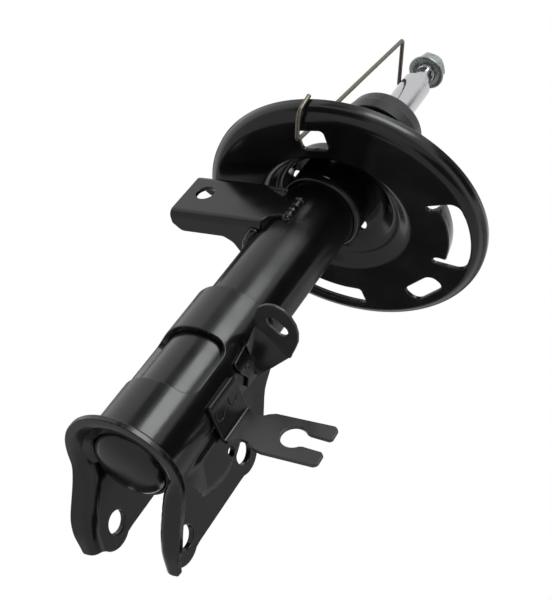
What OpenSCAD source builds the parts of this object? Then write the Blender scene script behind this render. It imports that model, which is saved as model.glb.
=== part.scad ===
// MacPherson strut assembly: twin-tube damper, knuckle bracket, spring seat and retaining wire.
// Millimetres. +Z runs up the strut axis to the rod stud, the knuckle ears point along -Y,
// and the origin is the centre of the base cap's flat underside.

/* [Damper tubes] */
// Outer diameter of the reservoir tube
tube_od = 51; // [48:0.5:54]
// Wall of the reservoir tube
tube_wall = 2.2; // [1.8:0.1:2.6]
// Height of the reservoir tube's rolled top above the base face
tube_top = 342; // [330:1:354]
// Bore of the pressure tube
bore_d = 32; // [30:0.5:34]
// Wall of the pressure tube
pressure_wall = 1.6; // [1.2:0.1:2]

/* [Piston rod] */
// Diameter of the piston rod
rod_d = 22; // [20:0.5:23]
// Height of the rod shoulder above the base face, with the strut at rest
shoulder_z = 408; // [402:1:414]
// Diameter of the top stud
stud_d = 14; // [12:1:14]
// Length of the top stud above the shoulder
stud_len = 35; // [33:1:40]
// Diameter of the stud at the piston
piston_stud_d = 12; // [10:1:13]
// Height of the piston crown at rest
piston_top = 58; // [54:1:64]
// Height of the piston body
piston_h = 16; // [14:1:18]
// Distance from the piston crown to the rebound stop
stop_gap = 80; // [60:1:90]

/* [Top nut] */
// Width across the nut's flats
nut_af = 21; // [19:1:22]
// Height of the nut with its flange
nut_h = 14; // [12:1:15]
// Diameter of the nut's flange
nut_flange_d = 27.5; // [26:0.5:29]
// Height of the nut's flange underside above the shoulder
nut_lift = 17; // [15:1:19]

/* [Knuckle bracket] */
// Thickness of the bracket's sheet
sheet = 4; // [3.5:0.1:4.5]
// Height of the bracket's sleeve above the base face
sleeve_top = 129.5; // [124:0.5:136]
// Gap between the two ears, which takes the knuckle
ear_gap = 46; // [44:0.5:48]
// Diameter of the two knuckle bolt holes
bolt_d = 14.5; // [13:0.5:16]
// Distance of the bolt holes from the strut axis
bolt_y = 43.7; // [42:0.1:46]
// Height of the lower bolt hole, below the base face where negative
bolt_low_z = -2.5; // [-4:0.5:0]
// Distance between the two bolt holes
bolt_pitch = 67.5; // [64:0.5:70]
// Radius of the ear's metal round each bolt hole
lobe_r = 14.3; // [13:0.1:15]
// Width of the flange that stiffens the ears' lower edge
ear_flange = 11.5; // [9:0.5:13]
// Height of the front window
window_h = 45; // [40:1:50]
// Height of the window's lower edge
window_z = 46; // [42:1:50]
// Half of the angle that the window spans round the tube
window_half = 56; // [50:1:60]

/* [Spring seat] */
// Outer radius of the seat's rim
seat_r = 98.5; // [95:0.5:101]
// Thickness of the seat's sheet
seat_sheet = 3; // [2.5:0.1:3.5]
// Height of the rim's upper edge above the pan's underside
rim_h = 12.5; // [11:0.5:15]
// Outer radius of the bend between pan and rim
rim_bend = 9; // [7:0.5:10]
// Angle by which the seat leans from square to the strut axis
seat_tilt = 10; // [8:0.5:11]
// Distance of the seat's middle from the strut axis
seat_shift = 17; // [12:0.5:19]
// Height of the pan's underside at the middle of the seat
seat_z = 256; // [252:1:262]
// Radius of the raised crown's foot in the pan
crown_r = 51; // [49:0.5:53]
// Height of the crown above the pan
crown_h = 24; // [22:1:28]

/* [Brackets] */
// Thickness of the stabilizer link bracket's sheet
link_sheet = 3; // [2.5:0.1:3.5]
// Diameter of the stabilizer link hole
link_hole_d = 13; // [10:0.1:14]
// Reach of the stabilizer link bracket from the strut axis
link_reach = 82; // [78:1:86]
// Width of the stabilizer link bracket along the strut
link_w = 43; // [40:0.5:46]
// Height of the stabilizer link bracket's lower face
link_z = 192.5; // [186:0.5:196]
// Thickness of the brake hose bracket's sheet
hose_sheet = 2.5; // [2:0.1:3]
// Width of the brake hose bracket's slot
hose_slot_w = 9.5; // [9:0.5:12]
// Diameter of the brake hose bracket's seat at the slot's inner end
hose_seat_d = 16; // [14:0.5:17]
// Thickness of the sensor wire bracket's sheet
sensor_sheet = 2; // [1.5:0.1:2.5]
// Width of the sensor wire bracket's oval hole
sensor_slot_w = 8; // [6:0.5:9]

/* [Retaining wire] */
// Diameter of the wire that holds the rod for shipping
wire_d = 3; // [2.5:0.1:3.2]
// Direction of the wire's plane round the strut axis
wire_angle = 108.5; // [107:0.5:110]

/* [Hidden] */
$fn = 96;

black_paint = [0.05, 0.05, 0.055];
bare_steel = [0.62, 0.62, 0.62];
zinc = [0.78, 0.82, 0.84];
chromed = [0.85, 0.85, 0.87];
dark_rubber = [0.10, 0.10, 0.10];
eps = 0.01;

// Clearances: between fixed pieces, between running pieces, and round free pieces
seat_fit = 0.05;
run_fit = 0.05;
free_gap = 0.3;

// Damper tubes
tube_r = tube_od / 2;
tube_in = tube_r - tube_wall;
tube_foot = 7;
bore_r = bore_d / 2;
pressure_r = bore_r + pressure_wall;
roll_in = 8;

// Base end: cap, foot valve and pressure tube stand on each other
cap_wall = 3;
cap_h = 18;
cap_bend = 6;
valve_foot_h = 4;
valve_flange_h = 5;
valve_spigot_h = 6;
valve_disc_r = 12;
valve_disc_h = 0.8;
valve_port_r = 1.8;
rivet_r = 3;
rivet_head_r = 6;
rivet_head_h = 1.6;
valve_z = cap_wall;
pressure_foot = valve_z + valve_foot_h + valve_flange_h;
valve_top = pressure_foot + valve_spigot_h;

// Rod end of the damper, from the rolled lip downwards
seal_h = 6;
guide_h = 16;
guide_spigot_h = 6;
seal_top = tube_top - tube_wall;
seal_foot = seal_top - seal_h;
guide_foot = seal_foot - guide_h;
spigot_foot = guide_foot - guide_spigot_h;
bush_wall = 1.6;

// Rod, piston and stops
rod_r = rod_d / 2;
stud_r = stud_d / 2;
piston_stud_r = piston_stud_d / 2;
shim_h = 1;
shim_r = 11;
piston_foot = piston_top - piston_h;
piston_nut_h = 8;
piston_nut_af = 18;
rod_foot = piston_foot - shim_h - piston_nut_h - 1;
band_wall = 1.8;
band_h = 10;
band_foot = piston_foot + (piston_h - band_h) / 2;
groove_r = bore_r - run_fit - band_wall - run_fit;
port_r = 1.8;
port_count = 6;
stop_ring_h = 4;
stop_ring_r = 13.4;
stop_h = 14;
stop_r = 15;
stop_ring_foot = piston_top + stop_gap;
stud_socket_af = 6;
stud_socket_depth = 8;

// Knuckle bracket
sleeve_bore_r = tube_r + seat_fit;
sleeve_r = sleeve_bore_r + sheet;
ear_in = ear_gap / 2;
ear_out = ear_in + sheet;
lip_foot = 0.8;
lip_r = ear_out + ear_flange;
lip_bend = 5;
ear_edge_y = -bolt_y - lobe_r + 2;
bolt_high_z = bolt_low_z + bolt_pitch;
lobe_low = [-bolt_y - 0.8, bolt_low_z - 3.5];
shoulder_low = sleeve_top - 22.5;
shoulder_far = sleeve_top - 33.5;

// Flange along the ears' lower edge: [Y, height above the tip's underside]
flange_tip_y = -bolt_y - 2.8;
ear_foot = lobe_low[1] - lobe_r - 5.7;
flange_run = [[-4, 25.6], [-11, 20.5], [-18, 14.8], [-26, 7.8], [-36, 2.6], [flange_tip_y, 0]];
flange_tip_r = lip_r - 5.5;
flange_narrows_y = -25;

// Ribs pressed outwards in both ears: corners of the foot and of the top
rib_h = 2;
rib_foot = [[-12, 13], [-24, 17], [-39.7, 30], [-42.5, 42], [-41.5, 52], [-35.5, 64], [-31, 62],
    [-33, 40], [-24, 33], [-5, 37]];

// Spring seat
seat_dir = -116;
crown_shift = 7;
crown_top_r = 37;
crown_step = 0.36;
crown_step_r = 44;
seat_axis_z = seat_z - seat_shift * tan(seat_tilt);
crown_foot_z = seat_z - crown_shift * sin(seat_tilt);
crown_top_z = seat_axis_z + crown_h;
collar_wall = 3.2;
collar_foot = seat_axis_z - 9;
collar_lip = 1.6;

// ---------- shared shapes ----------

// Quarter of a ring of sheet, lying right of and below its centre
module bend_section(outer, thickness) {
    intersection() {
        difference() {
            circle(outer);
            circle(outer - thickness);
        }
        translate([0, -outer]) square([outer, outer]);
    }
}

// A block with four rounded upright edges, centred on the Z axis
module rounded_block(length, width, height, corner) {
    linear_extrude(height) rounded_rect(length, width, corner);
}

module rounded_rect(length, width, corner) {
    square([length - 2 * corner, width], center = true);
    square([length, width - 2 * corner], center = true);
    for (x = [-1, 1], y = [-1, 1])
        translate([x * (length / 2 - corner), y * (width / 2 - corner)]) circle(corner);
}

// Outline with round ends, its length running along X
module obround(length, width) {
    square([length - width, width], center = true);
    for (x = [-1, 1]) translate([x * (length - width) / 2, 0]) circle(width / 2);
}

// Points along part of a circle
function arc_points(centre, radius, from, to, steps) = [
    for (i = [0 : steps]) let(a = from + (to - from) * i / steps)
        centre + radius * [cos(a), sin(a)]
];

// A slot that follows a circle, between two radii and two angles, with round ends
module arc_slot(inner, outer, from, to, height) {
    mid = (inner + outer) / 2;
    half = (outer - inner) / 2;
    inset = asin(half / mid);
    first = from + inset;
    last = to - inset;
    linear_extrude(height) polygon(concat(
        arc_points([0, 0], outer, first, last, 20),
        arc_points(mid * [cos(last), sin(last)], half, last + 12, last + 168, 12),
        arc_points([0, 0], inner, last, first, 20),
        arc_points(mid * [cos(first), sin(first)], half, first + 192, first + 348, 12)
    ));
}

module hexagon(across_flats) {
    circle(r = across_flats / 2 / cos(30), $fn = 6);
}

// A fillet bead on top of Z = 0 that follows part of a circle round the strut axis
module ring_bead(radius, bead, from, to) {
    rotate([0, 0, from]) rotate_extrude(angle = to - from) intersection() {
        translate([radius, 0]) circle(bead, $fn = 24);
        translate([radius, 0]) square([bead, bead]);
    }
}

// ---------- damper body ----------

module reservoir_tube() {
    color(black_paint) rotate_extrude() {
        translate([tube_in, tube_foot])
            square([tube_wall, tube_top - tube_foot - 2 * tube_wall]);
        translate([tube_r - 2 * tube_wall, tube_top - 2 * tube_wall])
            mirror([0, 1]) bend_section(2 * tube_wall, tube_wall);
        translate([tube_r - roll_in, tube_top - tube_wall])
            square([roll_in - 2 * tube_wall, tube_wall]);
    }
}

module base_cap() {
    fit_r = tube_in - seat_fit;
    color(black_paint) rotate_extrude() {
        square([fit_r - cap_bend, cap_wall]);
        translate([fit_r - cap_bend, cap_bend]) bend_section(cap_bend, cap_wall);
        translate([fit_r - cap_wall, cap_bend]) square([cap_wall, cap_h - cap_bend]);
    }
}

module pressure_tube() {
    color(bare_steel) rotate_extrude()
        translate([bore_r, pressure_foot])
        square([pressure_wall, guide_foot - pressure_foot]);
}

module foot_valve_body() {
    notch_w = 7;
    color(bare_steel) difference() {
        rotate_extrude() {
            translate([bore_r - 5, valve_z]) square([pressure_r - bore_r + 2, valve_foot_h + eps]);
            translate([rivet_r + seat_fit, valve_z + valve_foot_h])
                square([pressure_r - rivet_r - seat_fit, valve_flange_h]);
            translate([rivet_r + seat_fit, pressure_foot - eps])
                square([bore_r - seat_fit - rivet_r - seat_fit, valve_spigot_h + eps]);
        }
        for (a = [0, 90]) rotate([0, 0, a])
            translate([-bore_d, -notch_w / 2, valve_z - eps])
            cube([2 * bore_d, notch_w, valve_foot_h + eps]);
        for (a = [0 : 60 : 300]) rotate([0, 0, a])
            translate([valve_disc_r - 3, 0, valve_z]) cylinder(r = valve_port_r, h = cap_h, $fn = 24);
    }
}

module foot_valve_disc() {
    color(bare_steel) translate([0, 0, valve_top]) difference() {
        cylinder(r = valve_disc_r, h = valve_disc_h);
        translate([0, 0, -eps]) cylinder(r = rivet_r + seat_fit, h = valve_disc_h + 2 * eps);
    }
}

module foot_valve_rivet() {
    under = valve_z + valve_foot_h;
    over = valve_top + valve_disc_h;
    color(bare_steel) {
        translate([0, 0, under - rivet_head_h]) cylinder(r = rivet_head_r, h = rivet_head_h);
        translate([0, 0, under - eps]) cylinder(r = rivet_r, h = over - under + 2 * eps);
        translate([0, 0, over]) cylinder(r1 = rivet_head_r, r2 = rivet_head_r - 1, h = rivet_head_h);
    }
}

module rod_guide() {
    bush_r = rod_r + run_fit + bush_wall + seat_fit;
    color(bare_steel) difference() {
        rotate_extrude() {
            translate([bush_r, guide_foot])
                square([tube_in - seat_fit - bush_r, guide_h]);
            translate([bush_r, spigot_foot])
                square([bore_r - seat_fit - bush_r, guide_spigot_h + eps]);
        }
        for (a = [0 : 120 : 240]) rotate([0, 0, a])
            translate([bore_r + 3.6, 0, guide_foot - eps])
            cylinder(r = 1.5, h = guide_h + 2 * eps, $fn = 24);
    }
}

module guide_bush() {
    color([0.65, 0.45, 0.25]) rotate_extrude()
        translate([rod_r + run_fit, spigot_foot + 1])
        square([bush_wall, guide_h + guide_spigot_h - 2]);
}

module oil_seal() {
    lip_depth = 2.5;
    shoulder = tube_wall;
    fit_r = tube_in - seat_fit;
    color(dark_rubber) rotate_extrude() difference() {
        union() {
            translate([rod_r + run_fit, seal_foot])
                square([fit_r - rod_r - run_fit, seal_h - shoulder]);
            translate([rod_r + run_fit, seal_foot])
                square([fit_r - rod_r - run_fit - shoulder, seal_h]);
        }
        for (z = [seal_foot, seal_top])
            translate([rod_r + 3, z]) scale([0.6, 1]) circle(lip_depth, $fn = 32);
    }
}

module bump_cap() {
    skirt_in = tube_r + seat_fit;
    skirt_r = 30;
    crown_r_top = 28.4;
    skirt_h = 10.5;
    crown_h_top = 11;
    edge = 3;
    hole_r = rod_r + 1.5;
    top = tube_top + crown_h_top;
    color(dark_rubber) rotate_extrude() {
        translate([skirt_in, tube_top - skirt_h]) square([skirt_r - skirt_in, skirt_h + eps]);
        polygon([[hole_r, tube_top], [skirt_r, tube_top], [crown_r_top, top - edge],
            [crown_r_top - edge, top - edge], [crown_r_top - edge, top], [hole_r + 1, top],
            [hole_r, top - 1]]);
        translate([crown_r_top - edge, top - edge]) circle(edge, $fn = 48);
    }
}

// ---------- knuckle bracket ----------

// Cross-section: a sleeve that wraps the tube and runs out into two parallel ears
module bracket_section() {
    difference() {
        union() {
            circle(sleeve_r);
            for (side = [-1, 1]) translate([side * (ear_in + sheet / 2), -35])
                square([sheet, 60], center = true);
        }
        circle(sleeve_bore_r);
        translate([-ear_in, -100]) square([ear_gap, 100]);
    }
}

// Side outline: Y runs across and Z runs up
module bracket_outline() {
    polygon([[sleeve_r + 1, lip_foot + sheet], [sleeve_r + 1, sleeve_top], [-16, sleeve_top],
        [-23, shoulder_low], [-38, shoulder_far],
        [-bolt_y - 7.2, bolt_high_z + lobe_r * 0.86], [ear_edge_y, bolt_high_z],
        [ear_edge_y, lobe_low[1]], [lobe_low[0] - 5.2, lobe_low[1] - lobe_r * 0.9],
        each flange_line(sheet - 0.5, true), [0, lip_foot + 1.5]]);
    translate([-bolt_y, bolt_high_z]) circle(lobe_r);
    translate(lobe_low) circle(lobe_r);
}

// The flange's underside raised by a distance, from the sleeve to the tip or back
function flange_line(up, back = false) =
    let(last = len(flange_run) - 1)
    [for (i = [0 : last])
        let(point = flange_run[back ? last - i : i]) [point[0], point[1] + ear_foot + up]];

// Strip along the ears' lower edge, seen from the side
module edge_strip() {
    polygon([[4, lip_foot], each flange_line(0), each flange_line(sheet, true),
        [4, lip_foot + sheet]]);
}

// Block that cuts the front window, with walls that point at the strut axis
module window_cut() {
    corner = 9;
    corner_angle = asin(corner / sleeve_r);
    mid = window_z + window_h / 2;
    hull() for (side = [-1, 1], up = [-1, 1])
        rotate([0, 0, 90 + side * (window_half - corner_angle)])
            translate([tube_in, 0, mid + up * (window_h / 2 - corner)])
            rotate([0, 90, 0]) cylinder(r = corner, h = tube_in, $fn = 48);
}

// Rib with sloping flanks that rises outwards by a height and narrows by a draft
module ear_rib(from, height, draft) {
    hull() for (end = [0, 1]) translate([from + end * height, 0, 0])
        rotate([90, 0, 90]) linear_extrude(0.01)
        offset(delta = -draft * end - (draft - 2.5)) polygon(rib_foot);
}

module knuckle_bracket() {
    edge = 2.5;
    color(black_paint) difference() {
        union() {
            intersection() {
                translate([0, 0, ear_foot - 5]) linear_extrude(sleeve_top - ear_foot + 6)
                    bracket_section();
                translate([-50, 0, 0]) rotate([90, 0, 90]) linear_extrude(100) bracket_outline();
            }
            rotate([0, 0, -8]) rotate_extrude(angle = 196) {
                translate([sleeve_r - sheet + lip_bend + sheet, lip_foot + lip_bend + sheet])
                    mirror([1, 0]) bend_section(lip_bend + sheet, sheet);
                translate([sleeve_r + lip_bend, lip_foot])
                    square([lip_r - sleeve_r - lip_bend, sheet]);
            }
            for (side = [0, 1]) mirror([side, 0, 0]) intersection() {
                translate([ear_in, 0, 0])
                    rotate([90, 0, 90]) linear_extrude(lip_r - ear_in) edge_strip();
                translate([0, 0, ear_foot - 1]) linear_extrude(sleeve_top)
                    polygon([[0, 5], [lip_r, 5], [lip_r, flange_narrows_y],
                        [flange_tip_r, flange_tip_y - 1], [0, flange_tip_y - 1]]);
            }
            for (side = [0, 1]) mirror([side, 0, 0]) ear_rib(ear_out - 1, 1 + rib_h, 2.5);
        }
        translate([0, 0, lip_foot - 1]) cylinder(r = sleeve_bore_r, h = sleeve_top);
        for (side = [0, 1]) mirror([side, 0, 0]) ear_rib(ear_in - 1, 1 + rib_h, 4.5);
        window_cut();
        for (z = [bolt_low_z, bolt_high_z])
            translate([-ear_out - 20, -bolt_y, z]) rotate([0, 90, 0])
            cylinder(r = bolt_d / 2, h = 2 * ear_out + 40);
        translate([0, 0, sleeve_top - edge]) rotate_extrude() difference() {
            translate([sleeve_r - edge, 0]) square([2 * edge, 2 * edge]);
            translate([sleeve_r - edge, 0]) circle(edge, $fn = 48);
        }
    }
}

// Fillet beads in the corners between the tube and the ears' inner faces
module bracket_welds() {
    bead = 3;
    foot = 12;
    corner_y = -sqrt(sleeve_bore_r * sleeve_bore_r - ear_in * ear_in);
    color(black_paint) for (side = [0, 1]) mirror([side, 0, 0])
        translate([0, 0, foot]) linear_extrude(sleeve_top - 2 * foot - bead) difference() {
            translate([ear_in - bead / 2, corner_y - bead]) circle(bead, $fn = 32);
            circle(sleeve_bore_r);
            translate([ear_in - seat_fit, -100]) square([100, 200]);
        }
}

// ---------- spring seat ----------

module seat_frame() {
    rotate([0, 0, seat_dir]) translate([seat_shift, 0, seat_z])
        rotate([0, -seat_tilt, 0]) rotate([0, 0, -seat_dir]) children();
}

// A disc on the crown: level 0 lies in the pan and level 1 squarely on the strut axis
module crown_disc(level, radius, thickness, rise = 0) {
    out = (1 - level) * (seat_shift - crown_shift * cos(seat_tilt));
    up = (1 - level) * crown_foot_z + level * crown_top_z;
    rotate([0, 0, seat_dir]) translate([out, 0, up])
        rotate([0, -(1 - level) * seat_tilt, 0]) translate([0, 0, rise])
        cylinder(r = radius, h = thickness, $fn = 72);
}

module crown_shell() {
    difference() {
        union() {
            hull() {
                crown_disc(0, crown_r + seat_sheet, seat_sheet);
                crown_disc(crown_step, crown_step_r + seat_sheet, seat_sheet, -seat_sheet);
            }
            hull() {
                crown_disc(crown_step, crown_step_r - 3 + seat_sheet, seat_sheet, -seat_sheet);
                crown_disc(1, crown_top_r, seat_sheet, -seat_sheet);
            }
        }
        hull() {
            crown_disc(0, crown_r, 1, -1);
            crown_disc(crown_step, crown_step_r, 0.1, -seat_sheet - 0.1);
        }
        hull() {
            crown_disc(crown_step, crown_step_r - 3, 0.1, -seat_sheet - 0.2);
            crown_disc(1, crown_top_r - seat_sheet, 0.1, -seat_sheet - 0.1);
        }
    }
}

module pan() {
    rotate_extrude($fn = 144) {
        translate([crown_r - 12, 0]) square([seat_r - rim_bend - crown_r + 12, seat_sheet]);
        translate([seat_r - rim_bend, rim_bend]) bend_section(rim_bend, seat_sheet);
        translate([seat_r - seat_sheet, rim_bend])
            square([seat_sheet, rim_h - rim_bend - seat_sheet / 2]);
        translate([seat_r - seat_sheet / 2, rim_h - seat_sheet / 2]) circle(seat_sheet / 2, $fn = 32);
    }
}

module seat_cuts() {
    deep = 3 * seat_sheet;
    translate([0, 0, -seat_sheet]) {
        // hole that the retaining wire hooks through
        rotate([0, 0, 94]) translate([73.5, 0, 0]) rounded_block(16, 18, deep, 3);
        // long slot round the tongue
        arc_slot(74.5, 89.3, 170, 213, deep);
        for (a = [169, 204]) arc_slot(66, 79, a, a + 13, deep);
        // oblong hole
        rotate([0, 0, -120.5]) translate([77, 0, 0]) rounded_block(14, 29, deep, 6);
        // slot that the tube half hides from below
        arc_slot(70, 84.5, -81, -34, deep);
    }
}

module spring_seat() {
    color(black_paint) {
        difference() {
            union() {
                difference() {
                    seat_frame() pan();
                    crown_disc(0, crown_r, 20, -10);
                }
                crown_shell();
            }
            seat_frame() seat_cuts();
            translate([0, 0, collar_foot]) cylinder(r = tube_r + seat_fit, h = 60);
            for (a = [16, 136, 256]) rotate([0, 0, a])
                translate([tube_r + 6.2, 0, crown_top_z - 8]) cylinder(r = 4, h = 20, $fn = 32);
        }
        // tongue turned up along the long slot
        seat_frame() rotate([0, 0, 176]) rotate_extrude(angle = 31)
            translate([74.4 - seat_sheet, seat_sheet - eps]) square([seat_sheet, 8]);
    }
}

module seat_collar() {
    inner = tube_r + seat_fit;
    color(black_paint) rotate_extrude() {
        translate([inner, collar_foot + collar_lip])
            square([collar_wall, crown_top_z - seat_sheet - collar_foot - collar_lip]);
        translate([inner, collar_foot]) square([collar_wall - collar_lip, collar_lip + eps]);
        translate([inner + collar_wall - collar_lip, collar_foot + collar_lip])
            circle(collar_lip, $fn = 32);
    }
}

module seat_welds() {
    color(black_paint) {
        for (a = [20 : 90 : 290]) translate([0, 0, crown_top_z])
            rotate([0, 0, a]) rotate_extrude(angle = 52)
            polygon([[tube_r, 0], [tube_r + 4.5, 0], [tube_r + 3, 2.6], [tube_r, 4.5]]);
    }
}

// ---------- brackets ----------

link_angle = 4.6;
link_face = tube_r + seat_fit + link_sheet;

// Channel section: Y runs across and Z runs up
module channel_section() {
    bend = 5;
    depth = 50;
    difference() {
        translate([link_face - depth, link_w / 2]) rounded_rect(2 * depth, link_w, bend);
        translate([link_face - link_sheet - depth, link_w / 2])
            rounded_rect(2 * depth, link_w - 2 * link_sheet, bend - link_sheet);
    }
}

module link_plan() {
    difference() {
        polygon([[-2, link_face], [link_reach, link_face], [link_reach, 19],
            [link_reach - 6, 13], [42, 13], [36, 10], [33, 3], [30, -12], [16, -16], [4, 8]]);
        circle(tube_r + seat_fit);
    }
}

module stabilizer_link_bracket() {
    notch_h = 11;
    taper_h = 16;
    hole_x = link_reach - 15.4;
    hole_z = link_w * 0.56;
    color(black_paint) rotate([0, 0, link_angle]) translate([0, 0, link_z]) difference() {
        intersection() {
            translate([-2, 0, 0]) rotate([90, 0, 90]) linear_extrude(link_reach + 2)
                channel_section();
            linear_extrude(link_w) link_plan();
        }
        translate([0, link_face + 1, 0]) rotate([90, 0, 0]) linear_extrude(6) {
            polygon([[-5, link_w + 1], [-5, link_w - taper_h], [4, link_w - taper_h],
                [36, link_w + 1]]);
            polygon([[-5, -1], [-5, notch_h], [3, notch_h], [9, notch_h - 2], [13, -1]]);
        }
        translate([hole_x, link_face + 1, hole_z]) rotate([90, 0, 0])
            cylinder(r = link_hole_d / 2, h = link_sheet + 2);
    }
}

module link_bracket_welds() {
    edge_bead = 2.6;
    color(black_paint) rotate([0, 0, link_angle]) {
        for (end = [0, 1]) translate([0, 0, link_z + end * link_w])
            mirror([0, 0, 1 - end]) ring_bead(tube_r, 3.4, -22, 58);
        translate([-edge_bead, link_face - link_sheet, link_z + 13]) difference() {
            cylinder(r = edge_bead, h = 12, $fn = 24);
            translate([edge_bead, -link_face + link_sheet, -1]) cylinder(r = tube_r, h = 14);
            translate([edge_bead - 2 - seat_fit, -10, -1]) cube([10, 20, 14]);
        }
    }
}

// Curved pad on the sleeve's side, and a slotted fork that reaches out along -X
module brake_hose_bracket() {
    pad_x = -sleeve_r;
    pad_low = 49;
    pad_h = 29;
    root_y = -19;
    reach = 60;
    swing = 10;
    slot_z = 66.2;
    z_low = slot_z - 15.5;
    z_high = slot_z + 15.8;
    lip = slot_z + hose_slot_w / 2;
    toe = slot_z - hose_slot_w / 2;
    seat_out = 38;
    color(black_paint) {
        difference() {
            translate([pad_x - hose_sheet, root_y, pad_low]) cube([hose_sheet, 23, pad_h]);
            translate([0, 0, pad_low - 1]) cylinder(r = sleeve_r + eps, h = pad_h + 2);
        }
        translate([pad_x, root_y, 0]) rotate([0, 0, 180 + swing])
            difference() {
                rotate([90, 0, 0]) linear_extrude(hose_sheet)
                    polygon([[0, pad_low], [0, pad_low + pad_h], [2, pad_low + pad_h],
                        [7.6, z_high - 7.2], [13, z_high - 7.2], [16, z_high - 4.7],
                        [20, z_high - 2.8], [reach - 3, z_high], [reach - 0.8, z_high - 1.6],
                        [reach, z_high - 4], [reach, lip + 1.4], [reach - 2, lip],
                        [reach - 2, toe], [reach, toe - 1.4], [reach, z_low + 3],
                        [reach - 2.2, z_low], [25, z_low - 1.8], [19, z_low - 0.4],
                        [15, z_low + 2.6], [10, z_low + 3.2], [6.8, z_low + 1.8],
                        [4, pad_low]]);
                translate([0, 1, slot_z]) rotate([90, 0, 0])
                    linear_extrude(hose_sheet + 2) {
                        translate([seat_out, -hose_slot_w / 2])
                            square([reach, hose_slot_w]);
                        translate([seat_out, 0]) circle(hose_seat_d / 2);
                    }
            }
        for (z = [pad_low + 6, pad_low + 20.5]) translate([pad_x - hose_sheet, -2, z])
            rotate([0, -90, 0]) rotate([0, 0, 100]) rotate_extrude(angle = 215)
            translate([3, -eps]) square([1, 0.7]);
    }
}

module sensor_wire_bracket() {
    pad_x = -sleeve_r;
    pad_low = 81;
    pad_h = 17;
    tab_z = 108;
    hole_at = [-48.9, 20.3];
    color(black_paint) {
        difference() {
            translate([pad_x - sensor_sheet, -11, pad_low]) cube([sensor_sheet, 22, pad_h]);
            translate([0, 0, pad_low - 7]) cylinder(r = sleeve_r + eps, h = 40);
        }
        hull() {
            translate([pad_x - sensor_sheet, -11, pad_low + pad_h - 1]) cube([sensor_sheet, 24, 1]);
            translate([-49.7, -3.4, tab_z]) cylinder(r = 0.8, h = sensor_sheet, $fn = 16);
            translate([-33.4, 19, tab_z]) cylinder(r = 0.8, h = sensor_sheet, $fn = 16);
        }
        translate([0, 0, tab_z]) linear_extrude(sensor_sheet) difference() {
            polygon([[-32.8, 20], [-36.5, 29], [-40.5, 34.2], [-46.4, 36.5], [-52, 36.4],
                [-57.6, 33], [-60.6, 28.4], [-62.2, 22], [-61.7, 15.8], [-59.5, 9.5],
                [-55.5, 3.6], [-49.7, -3.4]]);
            translate(hole_at) rotate([0, 0, 53]) obround(15, sensor_slot_w);
        }
    }
}

// ---------- rod group ----------

module piston_band() {
    color([0.25, 0.22, 0.2]) rotate_extrude()
        translate([groove_r + run_fit, band_foot]) square([band_wall, band_h]);
}

module piston_rod() {
    bevel = 1;
    body_foot = piston_top + shim_h;
    top = shoulder_z + stud_len;
    color(chromed) difference() {
        rotate_extrude() {
            polygon([[0, rod_foot], [piston_stud_r - bevel, rod_foot],
                [piston_stud_r, rod_foot + bevel], [piston_stud_r, body_foot], [rod_r, body_foot],
                [rod_r, shoulder_z - bevel], [rod_r - bevel, shoulder_z], [stud_r, shoulder_z],
                [stud_r, top - bevel], [stud_r - bevel, top], [0, top]]);
        }
        translate([0, 0, top - stud_socket_depth]) linear_extrude(stud_socket_depth + 1)
            hexagon(stud_socket_af);
    }
}

module piston() {
    color(bare_steel) difference() {
        rotate_extrude() difference() {
            translate([piston_stud_r + seat_fit, piston_foot])
                square([bore_r - 0.2 - piston_stud_r - seat_fit, piston_h]);
            translate([groove_r, band_foot - run_fit])
                square([bore_r, band_h + 2 * run_fit]);
        }
        for (i = [0 : port_count - 1]) rotate([0, 0, i * 360 / port_count])
            translate([9.4, 0, piston_foot - 1])
            cylinder(r = port_r, h = piston_h + 2, $fn = 24);
    }
}

module shim_stack(radius, foot) {
    translate([0, 0, foot]) difference() {
        cylinder(r = radius, h = shim_h);
        translate([0, 0, -1]) cylinder(r = piston_stud_r + seat_fit, h = shim_h + 2);
    }
}

module compression_shims() {
    color(bare_steel) shim_stack(shim_r, piston_top);
}

module rebound_shims() {
    color(bare_steel) shim_stack(shim_r + 1, piston_foot - shim_h);
}

module piston_nut() {
    color(zinc) translate([0, 0, piston_foot - shim_h - piston_nut_h]) difference() {
        linear_extrude(piston_nut_h) hexagon(piston_nut_af);
        translate([0, 0, -1]) cylinder(r = piston_stud_r + seat_fit, h = piston_nut_h + 2);
    }
}

module stop_ring() {
    color(bare_steel) translate([0, 0, stop_ring_foot]) rotate_extrude()
        polygon([[rod_r + seat_fit, 0], [stop_ring_r, 0], [stop_ring_r, 3], [stop_ring_r - 1, stop_ring_h],
            [rod_r + seat_fit, stop_ring_h]]);
}

module rebound_stop() {
    color([0.85, 0.83, 0.75]) translate([0, 0, stop_ring_foot + stop_ring_h]) rotate_extrude()
        polygon([[rod_r + seat_fit, 0], [stop_r, 0], [stop_r, stop_h - 3], [stop_r - 1.5, stop_h],
            [rod_r + seat_fit, stop_h]]);
}

module top_nut() {
    flange_r = nut_flange_d / 2;
    flange_h = 3;
    foot = shoulder_z + nut_lift;
    color(zinc) translate([0, 0, foot]) difference() {
        union() {
            cylinder(r = flange_r, h = flange_h * 0.6);
            translate([0, 0, flange_h * 0.6]) cylinder(r1 = flange_r, r2 = nut_af / 2, h = flange_h);
            intersection() {
                linear_extrude(nut_h) hexagon(nut_af);
                union() {
                    cylinder(r = nut_af, h = nut_h - 2);
                    translate([0, 0, nut_h - 2]) cylinder(r1 = nut_af / 2 + 2.4, r2 = nut_af / 2 - 0.6, h = 2);
                }
            }
        }
        translate([0, 0, -1]) cylinder(r = stud_r + seat_fit, h = nut_h + 2);
    }
}

// ---------- retaining wire ----------

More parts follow.
